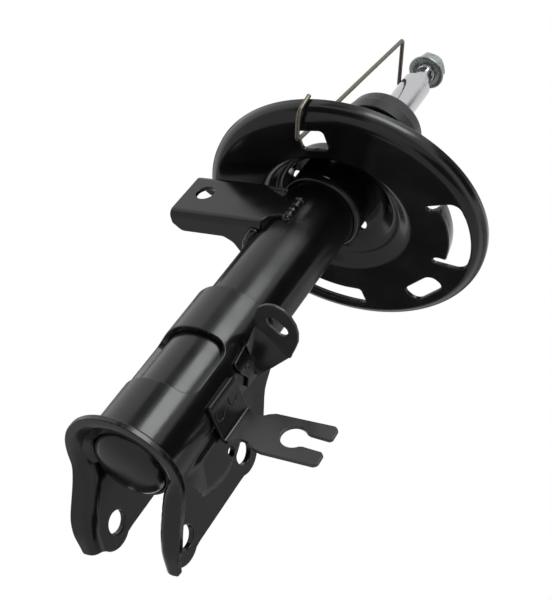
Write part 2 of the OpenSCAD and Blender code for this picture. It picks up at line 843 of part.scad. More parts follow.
wire_r = wire_d / 2;
wire_off = rod_r + wire_r + free_gap;
wire_sides = 16;
wire_bend = 4;
wire_bend_steps = 5;

// Points of the round corner at b, between the straight runs a-b and b-c
function round_corner(a, b, c, radius, steps) =
    let(
        u = (a - b) / norm(a - b),
        v = (c - b) / norm(c - b),
        half = acos(u * v) / 2,
        reach = radius / tan(half),
        centre = b + (u + v) / norm(u + v) * radius / sin(half),
        first = b + u * reach - centre,
        last = b + v * reach - centre,
        turn = 180 - 2 * half
    )
    [for (i = [0 : steps])
        centre + (sin(turn * (1 - i / steps)) * first + sin(turn * i / steps) * last) / sin(turn)];

// Centre line through the corners, with every inner corner rounded
function round_route(corners, radii) = [
    corners[0],
    for (i = [1 : len(corners) - 2])
        each round_corner(corners[i - 1], corners[i], corners[i + 1], radii[i - 1], wire_bend_steps),
    corners[len(corners) - 1]
];

// Round bar swept along a centre line that lies in the XZ plane
module planar_bar(line, radius, sides) {
    last = len(line) - 1;
    directions = [for (i = [0 : last])
        let(d = line[min(i + 1, last)] - line[max(i - 1, 0)]) d / norm(d)];
    points = [for (i = [0 : last], k = [0 : sides - 1])
        let(a = 360 * k / sides, side = radius * cos(a), out = radius * sin(a))
        [line[i][0] - directions[i][1] * side, out, line[i][1] + directions[i][0] * side]];
    walls = [for (i = [0 : last - 1], k = [0 : sides - 1])
        let(a = i * sides + k, b = i * sides + (k + 1) % sides)
        each [[a, b, b + sides], [a, b + sides, a + sides]]];
    ends = [[for (k = [sides - 1 : -1 : 0]) k], [for (k = [0 : sides - 1]) last * sides + k]];
    polyhedron(points, concat(walls, ends));
}

// Route corners: tip behind the rod, bend, turn under the pan, and end outside the rim
module retaining_wire() {
    corners = [[-1.5, shoulder_z - 3.5], [36.8, shoulder_z - 1.5], [61.8, seat_z - 19.4],
        [seat_r - 15.9, seat_z - 17.4],
        [seat_r - 12.4, seat_z - 2]];
    color(bare_steel) rotate([0, 0, wire_angle]) translate([0, -wire_off, 0])
        planar_bar(round_route(corners, [3, wire_bend, 7]), wire_r, wire_sides);
}

reservoir_tube();
base_cap();
pressure_tube();
foot_valve_body();
foot_valve_disc();
foot_valve_rivet();
rod_guide();
guide_bush();
oil_seal();
bump_cap();
knuckle_bracket();
bracket_welds();
spring_seat();
seat_collar();
seat_welds();
stabilizer_link_bracket();
link_bracket_welds();
brake_hose_bracket();
sensor_wire_bracket();
piston_band();
piston_rod();
piston();
compression_shims();
rebound_shims();
piston_nut();
rebound_stop();
stop_ring();
top_nut();
retaining_wire();
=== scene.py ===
"""Looks of the strut assembly: pressed sheet pieces, welds, thread, wire, finishes, light and camera.

Shapes are written in millimetres, in the frame of the CAD model, and become metres in build().
"""

import math

import bpy
import numpy as np
from mathutils import Matrix, Vector
from mathutils.geometry import delaunay_2d_cdt

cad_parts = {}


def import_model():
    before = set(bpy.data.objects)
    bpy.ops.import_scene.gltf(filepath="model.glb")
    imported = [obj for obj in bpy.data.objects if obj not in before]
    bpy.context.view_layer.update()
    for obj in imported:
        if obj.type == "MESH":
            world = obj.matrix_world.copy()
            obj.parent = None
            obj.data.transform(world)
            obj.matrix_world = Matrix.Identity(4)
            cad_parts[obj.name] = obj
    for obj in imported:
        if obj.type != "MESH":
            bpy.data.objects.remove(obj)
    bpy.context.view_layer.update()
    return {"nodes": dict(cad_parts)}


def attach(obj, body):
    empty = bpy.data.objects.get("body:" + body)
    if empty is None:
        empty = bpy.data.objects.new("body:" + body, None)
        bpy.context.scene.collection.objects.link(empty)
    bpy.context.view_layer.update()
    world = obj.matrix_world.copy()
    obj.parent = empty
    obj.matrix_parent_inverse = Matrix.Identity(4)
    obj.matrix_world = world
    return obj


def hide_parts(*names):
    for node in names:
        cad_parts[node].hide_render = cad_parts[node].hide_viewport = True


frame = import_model()

rad = math.radians
MM = 0.001  # a millimetre in metres


# ---------- outlines ----------

NEARLY_STRAIGHT = rad(89)  # half the angle of a corner that needs no rounding


def unit(rows):
    rows = np.asarray(rows, float)
    length = np.linalg.norm(rows, axis=-1, keepdims=True)
    return rows / np.where(length > 0, length, 1)


def smooth(low, high, value):
    """0 below low, 1 above high, and a smooth step between them."""
    t = np.clip((np.asarray(value, float) - low) / (high - low), 0, 1)
    return t * t * (3 - 2 * t)


def rounded(corners, radius=0.0, closed=True, steps=6):
    """The outline with rounded corners. A corner is (x, y), or (x, y, its own radius)."""
    out, count = [], len(corners)
    for i, corner in enumerate(corners):
        here = np.array(corner[:2], float)
        r = corner[2] if len(corner) > 2 else radius
        if r <= 0 or (not closed and i in (0, count - 1)):
            out.append(here)
            continue
        back = np.array(corners[i - 1][:2], float) - here
        ahead = np.array(corners[(i + 1) % count][:2], float) - here
        shortest = min(np.linalg.norm(back), np.linalg.norm(ahead))
        back, ahead = unit(back), unit(ahead)
        half = math.acos(np.clip(back @ ahead, -1, 1)) / 2
        if half > NEARLY_STRAIGHT:
            out.append(here)
            continue
        reach = min(r / math.tan(half), 0.49 * shortest)
        r = reach * math.tan(half)
        centre = here + unit(back + ahead) * r / math.sin(half)
        first, last = here + back * reach - centre, here + ahead * reach - centre
        turn = math.pi - 2 * half
        pieces = max(2, math.ceil(steps * turn / rad(90)))
        for k in range(pieces + 1):
            t = turn * k / pieces
            out.append(centre + (math.sin(turn - t) * first + math.sin(t) * last) / math.sin(turn))
    return np.array(out)


def divided(line, step, closed=True):
    """The same line with no segment longer than step."""
    out = []
    ends = np.roll(line, -1, 0) if closed else line[1:]
    for a, b in zip(line, ends):
        pieces = max(1, math.ceil(np.linalg.norm(b - a) / step - 1e-6))
        out += [a + (b - a) * k / pieces for k in range(pieces)]
    return np.array(out if closed else out + [line[-1]])


def columns(*values):
    """Points from their coordinates, each of them one number or one for every point."""
    return np.stack(np.broadcast_arrays(*values), 1)


def around(steps):
    """The angles of equal steps round a circle."""
    return np.arange(steps) * 2 * math.pi / steps


def circle(x, y, r, steps=40):
    a = around(steps)
    return columns(x + r * np.cos(a), y + r * np.sin(a))


def arc(x, y, r, start, end, steps):
    a = np.radians(np.linspace(start, end, steps + 1))
    return [(x + r * math.cos(t), y + r * math.sin(t)) for t in a]


def block(length, width, corner, steps=6):
    """A rectangle round the origin, with rounded corners."""
    x, y = length / 2, width / 2
    return rounded([(-x, -y), (x, -y), (x, y), (-x, y)], corner, steps=steps)


def rotated(points, degrees):
    c, s = math.cos(rad(degrees)), math.sin(rad(degrees))
    return points @ np.array([[c, s], [-s, c]])


def round_row(r, z, sides):
    """A level ring of points. r and z are numbers, or have one for each point."""
    a = around(sides)
    return columns(r * np.cos(a), r * np.sin(a), z)


def upright(profile, a):
    """A profile of (radius, height) stood up at an angle round the strut's axis."""
    return [(r * math.cos(a), r * math.sin(a), z) for r, z in profile]


def inside(points, loops):
    """Which points lie inside the first loop and outside the others."""
    x, y = points[:, 0:1], points[:, 1:2]
    odd = np.zeros(len(points), bool)
    for loop in loops:
        a, b = loop, np.roll(loop, -1, 0)
        crosses = (a[:, 1] > y) != (b[:, 1] > y)
        rise = np.where(b[:, 1] == a[:, 1], 1, b[:, 1] - a[:, 1])
        at = a[:, 0] + (y - a[:, 1]) * (b[:, 0] - a[:, 0]) / rise
        odd ^= (np.sum(crosses & (x < at), 1) % 2).astype(bool)
    return odd


def grid(low, high, step):
    """Staggered points over a rectangle."""
    points = []
    for row, v in enumerate(np.arange(low[1], high[1], step * 0.87)):
        points += [(u, v) for u in np.arange(low[0] + (row % 2) * step / 2, high[0], step)]
    return np.array(points)


# ---------- meshes ----------

SHARP = rad(38)  # faces that meet at more than this show an edge
CHUNK = 2000  # points whose distances are worked out at once
SKEW = (0.31, 0.22, 0.93)  # a direction that no bar or bead starts along


def build(name, verts, faces, material, slot, body="strut_body", stands_for=None, normals=None, edge=None):
    """A piece from millimetre points, riding on its body and standing for its CAD node."""
    mesh = bpy.data.meshes.new(name)
    mesh.from_pydata((np.asarray(verts, float) * MM).tolist(), [], [list(map(int, f)) for f in faces])
    mesh.polygons.foreach_set("use_smooth", [True] * len(mesh.polygons))
    if edge is not None:
        mesh.attributes.new("edge", "FLOAT", "POINT").data.foreach_set("value", np.asarray(edge, np.float32))
    if normals is not None:
        mesh.normals_split_custom_set_from_vertices(unit(normals).tolist())
    else:
        mesh.set_sharp_from_angle(angle=SHARP)
    mesh.materials.append(material)
    piece = bpy.data.objects.new(name, mesh)
    bpy.context.scene.collection.objects.link(piece)
    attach(piece, body)
    if stands_for:
        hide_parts(stands_for)
    return piece


def surface(place, uv):
    """Point, normal and both directions of a mid-surface at each (u, v)."""
    h = 0.01
    du = (place(uv + [h, 0]) - place(uv - [h, 0])) / (2 * h)
    dv = (place(uv + [0, h]) - place(uv - [0, h])) / (2 * h)
    return place(uv), unit(np.cross(du, dv)), du, dv


def edge_loops(outline, holes, spacing):
    """The outline and the holes as evenly divided loops, and at each of their points the direction
    that leads off the sheet."""
    loops, outs = [], []
    for k, loop in enumerate([outline] + holes):
        loop = divided(np.asarray(loop, float), spacing)
        x, y = loop.T
        if (np.sum(x * np.roll(y, -1) - np.roll(x, -1) * y) > 0) != (k == 0):
            loop = loop[::-1]
        ahead = unit(np.roll(loop, -1, 0) - loop)
        along = unit(ahead + np.roll(ahead, 1, 0))
        # at a corner the inset runs further, so that it is as wide along both sides
        reach = 1 / np.clip(np.sum(ahead * along, 1), 0.6, 1)
        loops.append(loop)
        outs.append(columns(along[:, 1], -along[:, 0]) * reach[:, None])
    return loops, outs


def triangulated(rims, points, gap):
    """Flat points and triangles that fill the first rim outside the others. Points nearer to a rim
    than gap are left out."""
    rim = np.concatenate(rims)
    points = points[inside(points, rims)]
    far = np.ones(len(points), bool)
    for start in range(0, len(points), CHUNK):
        part = points[start:start + CHUNK]
        nearest = np.sum((part[:, None] - rim[None]) ** 2, 2).min(1)
        far[start:start + CHUNK] = nearest > gap ** 2
    flat = np.concatenate([rim, points[far]])
    edges, start = [], 0
    for loop in rims:
        edges += [(start + i, start + (i + 1) % len(loop)) for i in range(len(loop))]
        start += len(loop)
    made = delaunay_2d_cdt([Vector(p) for p in flat], edges, [], 0, 1e-5)
    source = [ids[0] for ids in made[3]]
    triangles = np.array([[source[i] for i in f] for f in made[2]])
    corners = flat[triangles]
    a, b = corners[:, 1] - corners[:, 0], corners[:, 2] - corners[:, 0]
    area = a[:, 0] * b[:, 1] - a[:, 1] * b[:, 0]
    triangles[area < 0] = triangles[area < 0][:, ::-1]
    return flat, triangles[inside(corners.mean(1), rims) & (np.abs(area) > 1e-9)]


def sheet(name, place, outline, holes, points, thickness, edge, spacing, *rest, **more):
    """Pressed sheet metal: a flat outline with holes, laid on a mid-surface and given its thickness
    and rounded edges. place() takes (n, 2) flat points to (n, 3) points in space."""
    loops, outs = edge_loops(outline, holes, spacing)
    tops = [loop - out * edge for loop, out in zip(loops, outs)]
    flat, triangles = triangulated(tops, points, 0.5 * spacing)
    count, rim = len(flat), sum(map(len, loops))

    middle, normal, _, _ = surface(place, flat)
    verts = [middle + normal * thickness / 2, middle - normal * thickness / 2]
    normals = [normal, -normal]
    worn = [np.zeros(count), np.zeros(count)]
    worn[0][:rim] = worn[1][:rim] = 0.5
    faces = [tuple(t) for t in triangles] + [tuple(t[::-1] + count) for t in triangles]
    turns = np.radians([65, 40, 18, 0])  # the edge's rounding, from beside the face to the sheet's side
    total, start = 2 * count, 0
    for loop, out in zip(loops, outs):
        n = len(loop)
        levels = [np.arange(start, start + n)]
        for side in (1, -1):
            for turn in turns[::side]:
                inset = edge * (1 - math.cos(turn))
                at, up, du, dv = surface(place, loop - out * inset)
                away = du * out[:, 0:1] + dv * out[:, 1:2]
                away = unit(away - up * np.sum(away * up, 1, keepdims=True))
                w = side * (thickness / 2 - edge + edge * math.sin(turn))
                verts.append(at + up * w)
                normals.append(up * side * math.sin(turn) + away * math.cos(turn))
                worn.append(np.ones(n))
                levels.append(np.arange(total, total + n))
                total += n
        levels.append(np.arange(start, start + n) + count)
        for above, below in zip(levels, levels[1:]):
            above2, below2 = np.roll(above, -1), np.roll(below, -1)
            faces += list(zip(above, below, below2, above2))
        start += n
    return build(name, np.concatenate(verts), faces, *rest, normals=np.concatenate(normals),
                 edge=np.concatenate(worn), **more)


def rings(name, rows, *rest, closed=True, **more):
    """A mesh of rings, each with the same number of points. An open one is capped at both ends."""
    rows = np.asarray(rows, float)
    m, n = rows.shape[:2]
    index = np.arange(m * n).reshape(m, n)
    faces = []
    for i in range(m if closed else m - 1):
        a, b = index[i], index[(i + 1) % m]
        faces += list(zip(a, np.roll(a, -1), np.roll(b, -1), b))
    verts = rows.reshape(-1, 3)
    if not closed:
        verts = np.concatenate([verts, [rows[0].mean(0), rows[-1].mean(0)]])
        first, last = m * n, m * n + 1
        faces += [(first, index[0][(k + 1) % n], index[0][k]) for k in range(n)]
        faces += [(last, index[-1][k], index[-1][(k + 1) % n]) for k in range(n)]
    return build(name, verts, faces, *rest, **more)


def lathe(name, profile, *rest, sides=180, closed=True, **more):
    """A profile of (radius, height) turned round the strut axis, counter-clockwise for outward walls."""
    profile = np.asarray(profile, float)
    step = np.roll(profile, -1, 0) - profile
    if not closed:
        step[-1] = step[-2]
    out = columns(step[:, 1], -step[:, 0])
    before = np.roll(out, 1, 0)
    if not closed:
        before[0] = out[0]
    out = unit(out + before)
    rows = [round_row(r, z, sides) for r, z in profile]
    normals = np.concatenate([round_row(r, z, sides) for r, z in out])
    if not closed:
        normals = np.concatenate([normals, [[0, 0, out[0][1]], [0, 0, out[-1][1]]]])
    return rings(name, rows, *rest, closed=closed, normals=normals, **more)


def sweep(name, path, radius, *rest, sides=20, **more):
    """A round bar or bead along a path. radius is one number for each point of the path, or for
    each of its points and sides."""
    path = np.asarray(path, float)
    ahead = unit(np.gradient(path, axis=0))
    side = unit(np.cross(ahead[0], SKEW))
    radius = np.broadcast_to(np.asarray(radius, float).reshape(len(path), -1), (len(path), sides))
    a = around(sides)
    rows = []
    for point, direction, r in zip(path, ahead, radius):
        side = unit(side - direction * (side @ direction))
        up = np.cross(direction, side)
        rows.append(point + (np.cos(a)[:, None] * side + np.sin(a)[:, None] * up) * r[:, None])
    return rings(name, rows, *rest, closed=False, **more)


# ---------- finishes ----------

class Finish:
    """A node material under construction."""

    def __init__(self, name, colour, roughness, metallic=0.0):
        self.material = bpy.data.materials.new(name)
        self.material.use_nodes = True
        self.nodes, self.links = self.material.node_tree.nodes, self.material.node_tree.links
        self.shader = self.nodes["Principled BSDF"]
        values = {"Base Color": (*colour, 1), "Roughness": roughness, "Metallic": metallic}
        for socket, value in values.items():
            self.shader.inputs[socket].default_value = value
        self.place = self.nodes.new("ShaderNodeTexCoord").outputs["Object"]
        self.material.diffuse_color = (*colour, 1)

    def node(self, kind, inputs):
        """A new node with its inputs set, or linked from other sockets."""
        made = self.nodes.new("ShaderNode" + kind)
        for name, value in inputs.items():
            if isinstance(value, bpy.types.NodeSocket):
                self.links.new(value, made.inputs[name])
            else:
                made.inputs[name].default_value = value
        return made

    def set(self, socket, value):
        """Links a shader socket, and returns what was linked there before."""
        socket = self.shader.inputs[socket]
        before = socket.links[0].from_socket if socket.is_linked else None
        self.links.new(value, socket)
        return before

    def axes(self):
        """X, Y and Z of the place on the object, in metres."""
        return self.node("SeparateXYZ", {"Vector": self.place}).outputs

    def noise(self, scale, detail=3.0, stretch=None):
        """Noise with about scale features to the metre."""
        place = self.place
        if stretch:
            place = self.node("Mapping", {"Vector": place, "Scale": stretch}).outputs["Vector"]
        inputs = {"Vector": place, "Scale": scale, "Detail": detail, "Roughness": 0.55}
        return self.node("TexNoise", inputs).outputs["Fac"]

    def spread(self, value, low, high, to_low=0.0, to_high=1.0):
        """value from low..high brought to to_low..to_high."""
        node = self.node("MapRange", {"Value": value, "From Min": low, "From Max": high,
                                      "To Min": to_low, "To Max": to_high})
        node.interpolation_type = "SMOOTHSTEP"
        return node.outputs["Result"]

    def math(self, kind, a, b):
        node = self.node("Math", {0: a, 1: b})
        node.operation = kind
        return node.outputs["Value"]

    def attribute(self, name):
        node = self.node("Attribute", {})
        node.attribute_name = name
        return node.outputs["Fac"]

    def tint(self, factor, colour):
        """Mixes a colour over what the base colour is so far."""
        node = self.node("Mix", {})
        node.data_type = "RGBA"
        self.links.new(factor, node.inputs["Factor"])
        node.inputs["A"].default_value = self.shader.inputs["Base Color"].default_value
        node.inputs["B"].default_value = (*colour, 1)
        before = self.set("Base Color", node.outputs["Result"])
        if before:
            self.links.new(before, node.inputs["A"])

    def bump(self, height, distance):
        """Adds relief of a height in metres to the bumps so far."""
        node = self.node("Bump", {"Height": height, "Distance": distance, "Strength": 1.0})
        before = self.set("Normal", node.outputs["Normal"])
        if before:
            self.links.new(before, node.inputs["Normal"])


PAINT_BLACK, WORN_EDGE = (0.0035, 0.0035, 0.0040), (0.060, 0.056, 0.052)
# The middle colour on the next line is painted light: a lighter grey for the sheen that the side brackets
# catch, not dust.
DUST, PAINTED_SHEEN_GREY, RUST = (0.030, 0.030, 0.029), (0.044, 0.044, 0.046), (0.16, 0.085, 0.045)


def black_paint(name, rough=0.2, peel=0.00002):
    """Gloss black dip paint: slight orange peel, duller patches, dust, and thin wear on the edges."""
    f = Finish(name, PAINT_BLACK, rough)
    worn = f.math("MULTIPLY", f.attribute("edge"), f.spread(f.noise(420, 5), 0.46, 0.78))
    dust = f.spread(f.noise(1500, 2), 0.70, 0.78)
    f.tint(f.math("MULTIPLY", dust, 0.5), DUST)
    f.tint(f.math("MULTIPLY", worn, 0.45), WORN_EDGE)
    patches = f.spread(f.noise(38, 4), 0.35, 0.70, rough - 0.03, rough + 0.05)
    gloss = f.math("ADD", patches, f.math("MULTIPLY", worn, 0.06))
    f.set("Roughness", f.math("ADD", gloss, f.math("MULTIPLY", dust, 0.08)))
    f.bump(f.noise(520, 2), peel)
    f.bump(f.noise(2600, 2), peel * 0.12)
    return f


def dull_paint():
    """The small side brackets' paint: duller, and painted a lighter grey where they stand out from the strut,
    as painted sheen for the light they catch.
    """
    f = black_paint("dull_paint", rough=0.26, peel=0.00003)
    # Painted light: beyond the sleeve, a lighter grey broken by grain stands for the sheen these brackets
    # catch.
    out = f.spread(f.axes()["X"], -0.0365, -0.0325, 1.0, 0.0)
    grain = f.spread(f.noise(1900, 3), 0.35, 0.65, 0.75, 1.0)
    f.tint(f.math("MULTIPLY", out, grain), PAINTED_SHEEN_GREY)
    return f


def speckled_paint():
    """The bracket's paint, with fine specks of rust on the front of its flared lower edge."""
    f = black_paint("black_paint_worn_lip")
    axes = f.axes()
    low = f.spread(axes["Z"], 0.004, 0.014, 1.0, 0.0)
    front = f.spread(axes["Y"], 0.012, 0.030)
    specks = f.spread(f.noise(1300, 3), 0.60, 0.68)
    rust = f.math("MULTIPLY", f.math("MULTIPLY", low, front), specks)
    f.tint(f.math("MULTIPLY", rust, 0.7), RUST)
    return f


paint = black_paint("black_paint").material
BLACK = (paint, "black_paint")  # the paint and its material slot
weld_paint = black_paint("painted_weld", rough=0.24, peel=0.00006).material
paint_dull = dull_paint().material
paint_worn = speckled_paint().material


def metal(name, colour, rough, grain, depth, spots=None, stretch=None):
    """Bare or plated metal with a grain and uneven gloss. spots is darker spots' scale and colour."""
    f = Finish(name, colour, rough, metallic=1.0)
    f.set("Roughness", f.spread(f.noise(grain * 0.4, 4, stretch), 0.3, 0.75, rough * 0.75, rough * 1.35))
    if spots:
        f.tint(f.spread(f.noise(spots[0], 5), 0.50, 0.75, 0.0, 0.8), spots[1])
    f.bump(f.noise(grain, 3, stretch), depth)
    return f.material


steel = metal("bare_steel", (0.42, 0.41, 0.40), 0.34, 900, 0.00001, (70, (0.25, 0.24, 0.23)))
sintered = metal("sintered_steel", (0.30, 0.30, 0.30), 0.50, 3200, 0.00003, (1400, (0.14, 0.14, 0.14)))
chrome = metal("chromed_steel", (0.52, 0.52, 0.54), 0.13, 700, 0.000002, stretch=(0.3, 0.3, 6))
zinc = metal("zinc_plate", (0.33, 0.36, 0.34), 0.30, 1300, 0.000004, (160, (0.22, 0.25, 0.23)))
wire_steel = metal("bare_wire", (0.17, 0.155, 0.13), 0.38, 1800, 0.00001, (380, (0.09, 0.07, 0.05)))
bronze = metal("bush_bronze", (0.45, 0.29, 0.15), 0.34, 1400, 0.00001, (300, (0.28, 0.17, 0.09)))


def moulded(name, colour, rough, grain, depth, patch=None):
    """Moulded rubber or plastic with a fine grain and slightly uneven gloss."""
    f = Finish(name, colour, rough)
    f.set("Roughness", f.spread(f.noise(60, 4), 0.3, 0.7, rough - 0.06, rough + 0.08))
    f.tint(f.spread(f.noise(grain * 0.7, 3), 0.5, 0.8, 0.0, 0.6), patch or tuple(1.8 * c for c in colour))
    f.bump(f.noise(grain, 3), depth)
    return f.material


rubber = moulded("rubber", (0.012, 0.012, 0.012), 0.55, 1800, 0.00002)
cap_rubber = moulded("rubber_cap", (0.006, 0.006, 0.0065), 0.38, 1500, 0.00002)
band = moulded("piston_band", (0.050, 0.042, 0.036), 0.45, 2200, 0.00001)
stop_plastic = moulded("stop_plastic", (0.62, 0.59, 0.48), 0.42, 1100, 0.00002, patch=(0.55, 0.51, 0.40))

KEPT = [
    (steel, "pressure_tube foot_valve_disc foot_valve_rivet compression_shims rebound_shims stop_ring"),
    (sintered, "foot_valve_body rod_guide piston"), (bronze, "guide_bush"), (rubber, "oil_seal"),
    (band, "piston_band"), (zinc, "piston_nut"), (stop_plastic, "rebound_stop"),
]
for finish, nodes in KEPT:
    for node in nodes.split():
        mesh = frame["nodes"][node].data
        mesh.materials.clear()
        mesh.materials.append(finish)


# ---------- tube, caps and collar ----------

TUBE_R, TUBE_IN, TUBE_FOOT, TUBE_TOP = 25.5, 23.3, 7, 342.0
LIP_R, LIP_T = 17.5, 2.2
CAP_R, CAP_IN, CAP_TOP = 23.25, 20.25, 18
BUMP_R, BUMP_BORE, BUMP_FOOT, BUMP_TOP = 30, 12.5, 331.5, 353
COLLAR_R, COLLAR_FOOT, COLLAR_TOP = 28.0, 243.9, 274
SEAL_R, SEAL_Z = TUBE_R + 0.05, TUBE_TOP + 0.05  # where other pieces sit on the tube
DOME_POWER = 2.5  # 2 would be an ellipse

lathe("tube_skin", divided(rounded([
    (TUBE_IN, TUBE_FOOT, 0.5), (TUBE_R, TUBE_FOOT, 1.6), (TUBE_R, TUBE_TOP, 4.4), (LIP_R, TUBE_TOP, 0.5),
    (LIP_R, TUBE_TOP - LIP_T, 0.4), (TUBE_IN, TUBE_TOP - LIP_T, 2.2)]), 6),
    *BLACK, stands_for="reservoir_tube")


def dome(radius, low, rise):
    """Half of a pressed dome's profile: flat in the middle and rounder towards its wall."""
    t = np.linspace(0.001, rad(90), 34)
    share = 2 / DOME_POWER
    return list(zip(radius * np.sin(t) ** share, low + rise * (1 - np.cos(t) ** share)))


base_cap = (dome(CAP_R, 0, 9.5) + [(CAP_R, CAP_TOP, 0.6), (CAP_IN, CAP_TOP, 0.6)]
            + dome(CAP_IN, 3, 6.5)[::-1])
lathe("base_cap_skin", rounded(base_cap, closed=False), *BLACK, closed=False, stands_for="base_cap")

lathe("bump_cap_skin", divided(rounded([
    (SEAL_R, BUMP_FOOT, 0.6), (BUMP_R, BUMP_FOOT, 1.0), (BUMP_R, 341.6, 0.9), (29.4, 342.6, 0.6),
    (28.4, BUMP_TOP, 3.2), (19.5, BUMP_TOP, 0.8), (18.6, BUMP_TOP - 0.8, 0.8),
    (14.2, BUMP_TOP - 0.8, 0.5), (BUMP_BORE, BUMP_TOP - 2.2, 0.6), (BUMP_BORE, SEAL_Z, 0.3),
    (SEAL_R, SEAL_Z, 0.3)]), 4),
    cap_rubber, "rubber_cap", stands_for="bump_cap")

lathe("collar_skin", divided(rounded([
    (SEAL_R + 0.1, COLLAR_FOOT, 0.4), (27.9, 244.2, 1.6), (29.0, 248.0, 2.6), (COLLAR_R, 250.2, 3.0),
    (COLLAR_R, COLLAR_TOP, 0.4), (SEAL_R, COLLAR_TOP, 0.3), (SEAL_R, 245.5, 1.0)], steps=8), 3),
    *BLACK, stands_for="seat_collar")


# ---------- knuckle bracket ----------

SHEET = 4.0
WRAP_R, EAR_X, BACK_R = 27.55, 25.0, 12.0
SLEEVE_R = WRAP_R + SHEET / 2
BACK_X = EAR_X + BACK_R
BACK_Y = -math.sqrt((WRAP_R + BACK_R) ** 2 - BACK_X ** 2)
BACK_A = math.asin(-BACK_Y / (WRAP_R + BACK_R))
U1 = WRAP_R * (rad(90) + BACK_A)  # along the sheet: the sleeve's end
U2 = U1 + BACK_R * BACK_A  # and the ear's beginning
BOLT_Y, BOLT_LOW, BOLT_HIGH, BOLT_R, LOBE_R = 43.7, -2.5, 65.0, 7.25, 14.3
SMALL_Y, SMALL_Z, SMALL_R = 31.8, 54.5, 3.1
LOBE_LOW = (44.5, -6.0)
EDGE_REACH, TIP_REACH, TIP_Y = 39.4, 34.6, -49.0
TOP_Z = 129.5
# Height of the turned-out edge's under side, by Y
EDGE_RUN = [(60, 0.8), (5, 0.8), (-3, -0.2), (-11, -5.3), (-18, -11.2), (-26, -17.9), (-36, -23.4),
            (TIP_Y, -25.9), (-60, -26.5)]


def ear_u(y):
    """Where a place on the ear lies along the bent sheet."""
    return U2 + BACK_Y - y


def wrap(u):
    """The sheet's middle line round the tube and along the ears: points and outward directions."""
    side, a = np.sign(u), np.abs(u)
    round_a = a / WRAP_R
    back = BACK_A - (a - U1) / BACK_R
    x = np.where(a < U1, WRAP_R * np.sin(round_a), np.where(a < U2, BACK_X - BACK_R * np.cos(back), EAR_X))
    y = np.where(a < U1, WRAP_R * np.cos(round_a),
                 np.where(a < U2, BACK_Y + BACK_R * np.sin(back), BACK_Y - (a - U2)))
    nx = np.where(a < U1, np.sin(round_a), np.where(a < U2, np.cos(back), 1.0))
    ny = np.where(a < U1, np.cos(round_a), np.where(a < U2, -np.sin(back), 0.0))
    return side * x, y, side * nx, ny


def fold_r(u):
    """Radius of the bend that turns the lower edge out: wide round the tube, tighter on the ears."""
    return 8.6 - 3.2 * smooth(42, 62, np.abs(u))


EDGE_U = np.arange(-110, 110.01, 0.25)
SOFTENING = np.hanning(51)[1:-1]
SOFTENING /= SOFTENING.sum()
EDGE_UNDER = np.interp(-wrap(EDGE_U)[1], [-y for y, z in EDGE_RUN], [z for y, z in EDGE_RUN])
EDGE_UNDER = np.convolve(np.pad(EDGE_UNDER, len(SOFTENING) // 2, "edge"), SOFTENING, "valid")
EDGE_SLOPE = np.gradient(EDGE_UNDER, EDGE_U)
EDGE_FOLD = EDGE_UNDER + fold_r(EDGE_U) + SHEET / 2 * np.sqrt(1 + EDGE_SLOPE ** 2)


def fold_z(u):
    """Height of the line along which the lower edge turns out."""
    return np.interp(u, EDGE_U, EDGE_FOLD)


def edge_width(u):
    """Length of sheet below the fold line."""
    x, y, _, _ = wrap(u)
    reach = EDGE_REACH + (TIP_REACH - EDGE_REACH) * smooth(-28, TIP_Y - 2, y)
    out = np.where(np.abs(u) < WRAP_R * rad(90), EDGE_REACH - WRAP_R, reach - np.abs(x))
    return out + (rad(90) - 1) * fold_r(u)


def swage(u, v):
    """Height of the field that is pressed out of each ear."""
    y = BACK_Y - (np.abs(u) - U2)
    low = np.interp(y, [-40, -35.8, -23.8, -11.2, 4.4], [24, 22.4, 17.8, 13.5, 12.8])
    ridge = np.interp(y, [-40, -35.8, -18.4, -3.9], [25.5, 24.4, 30.6, 36.5])
    rib = np.interp(v, [13, 22.9, 32.1, 42.6, 52.2, 61, 66, 72],
                    [-33, -36.3, -39.9, -42.2, -41.4, -38.3, -35, -28])
    a, b = 2.0 * (v - low) / np.maximum(ridge - low, 2), 0.42 * (y - rib)
    h = 0.5 * (a + b - np.sqrt((a - b) ** 2 + 0.01))
    h = 0.5 * (h + 2.0 - np.sqrt((h - 2.0) ** 2 + 0.02))
    return np.where(h > 0, h, 0) * smooth(92, 66, v) * smooth(-8, -17, y)


def on_bracket(uv):
    u, v = uv.T
    radius = fold_r(u)
    d = np.clip(fold_z(u) - v, 0, None)
    turn = np.clip(d / radius, 0, rad(90))
    z = np.where(d > 0, fold_z(u) - radius * np.sin(turn), v)
    out = radius * (1 - np.cos(turn)) + np.clip(d - radius * rad(90), 0, None)
    x, y, nx, ny = wrap(u)
    straight = np.abs(u) > WRAP_R * rad(90)
    px, py = np.where(straight, np.sign(u), nx), np.where(straight, 0, ny)
    rise = swage(u, v)
    return columns(x + px * out + nx * rise, y + py * out + ny * rise, z)


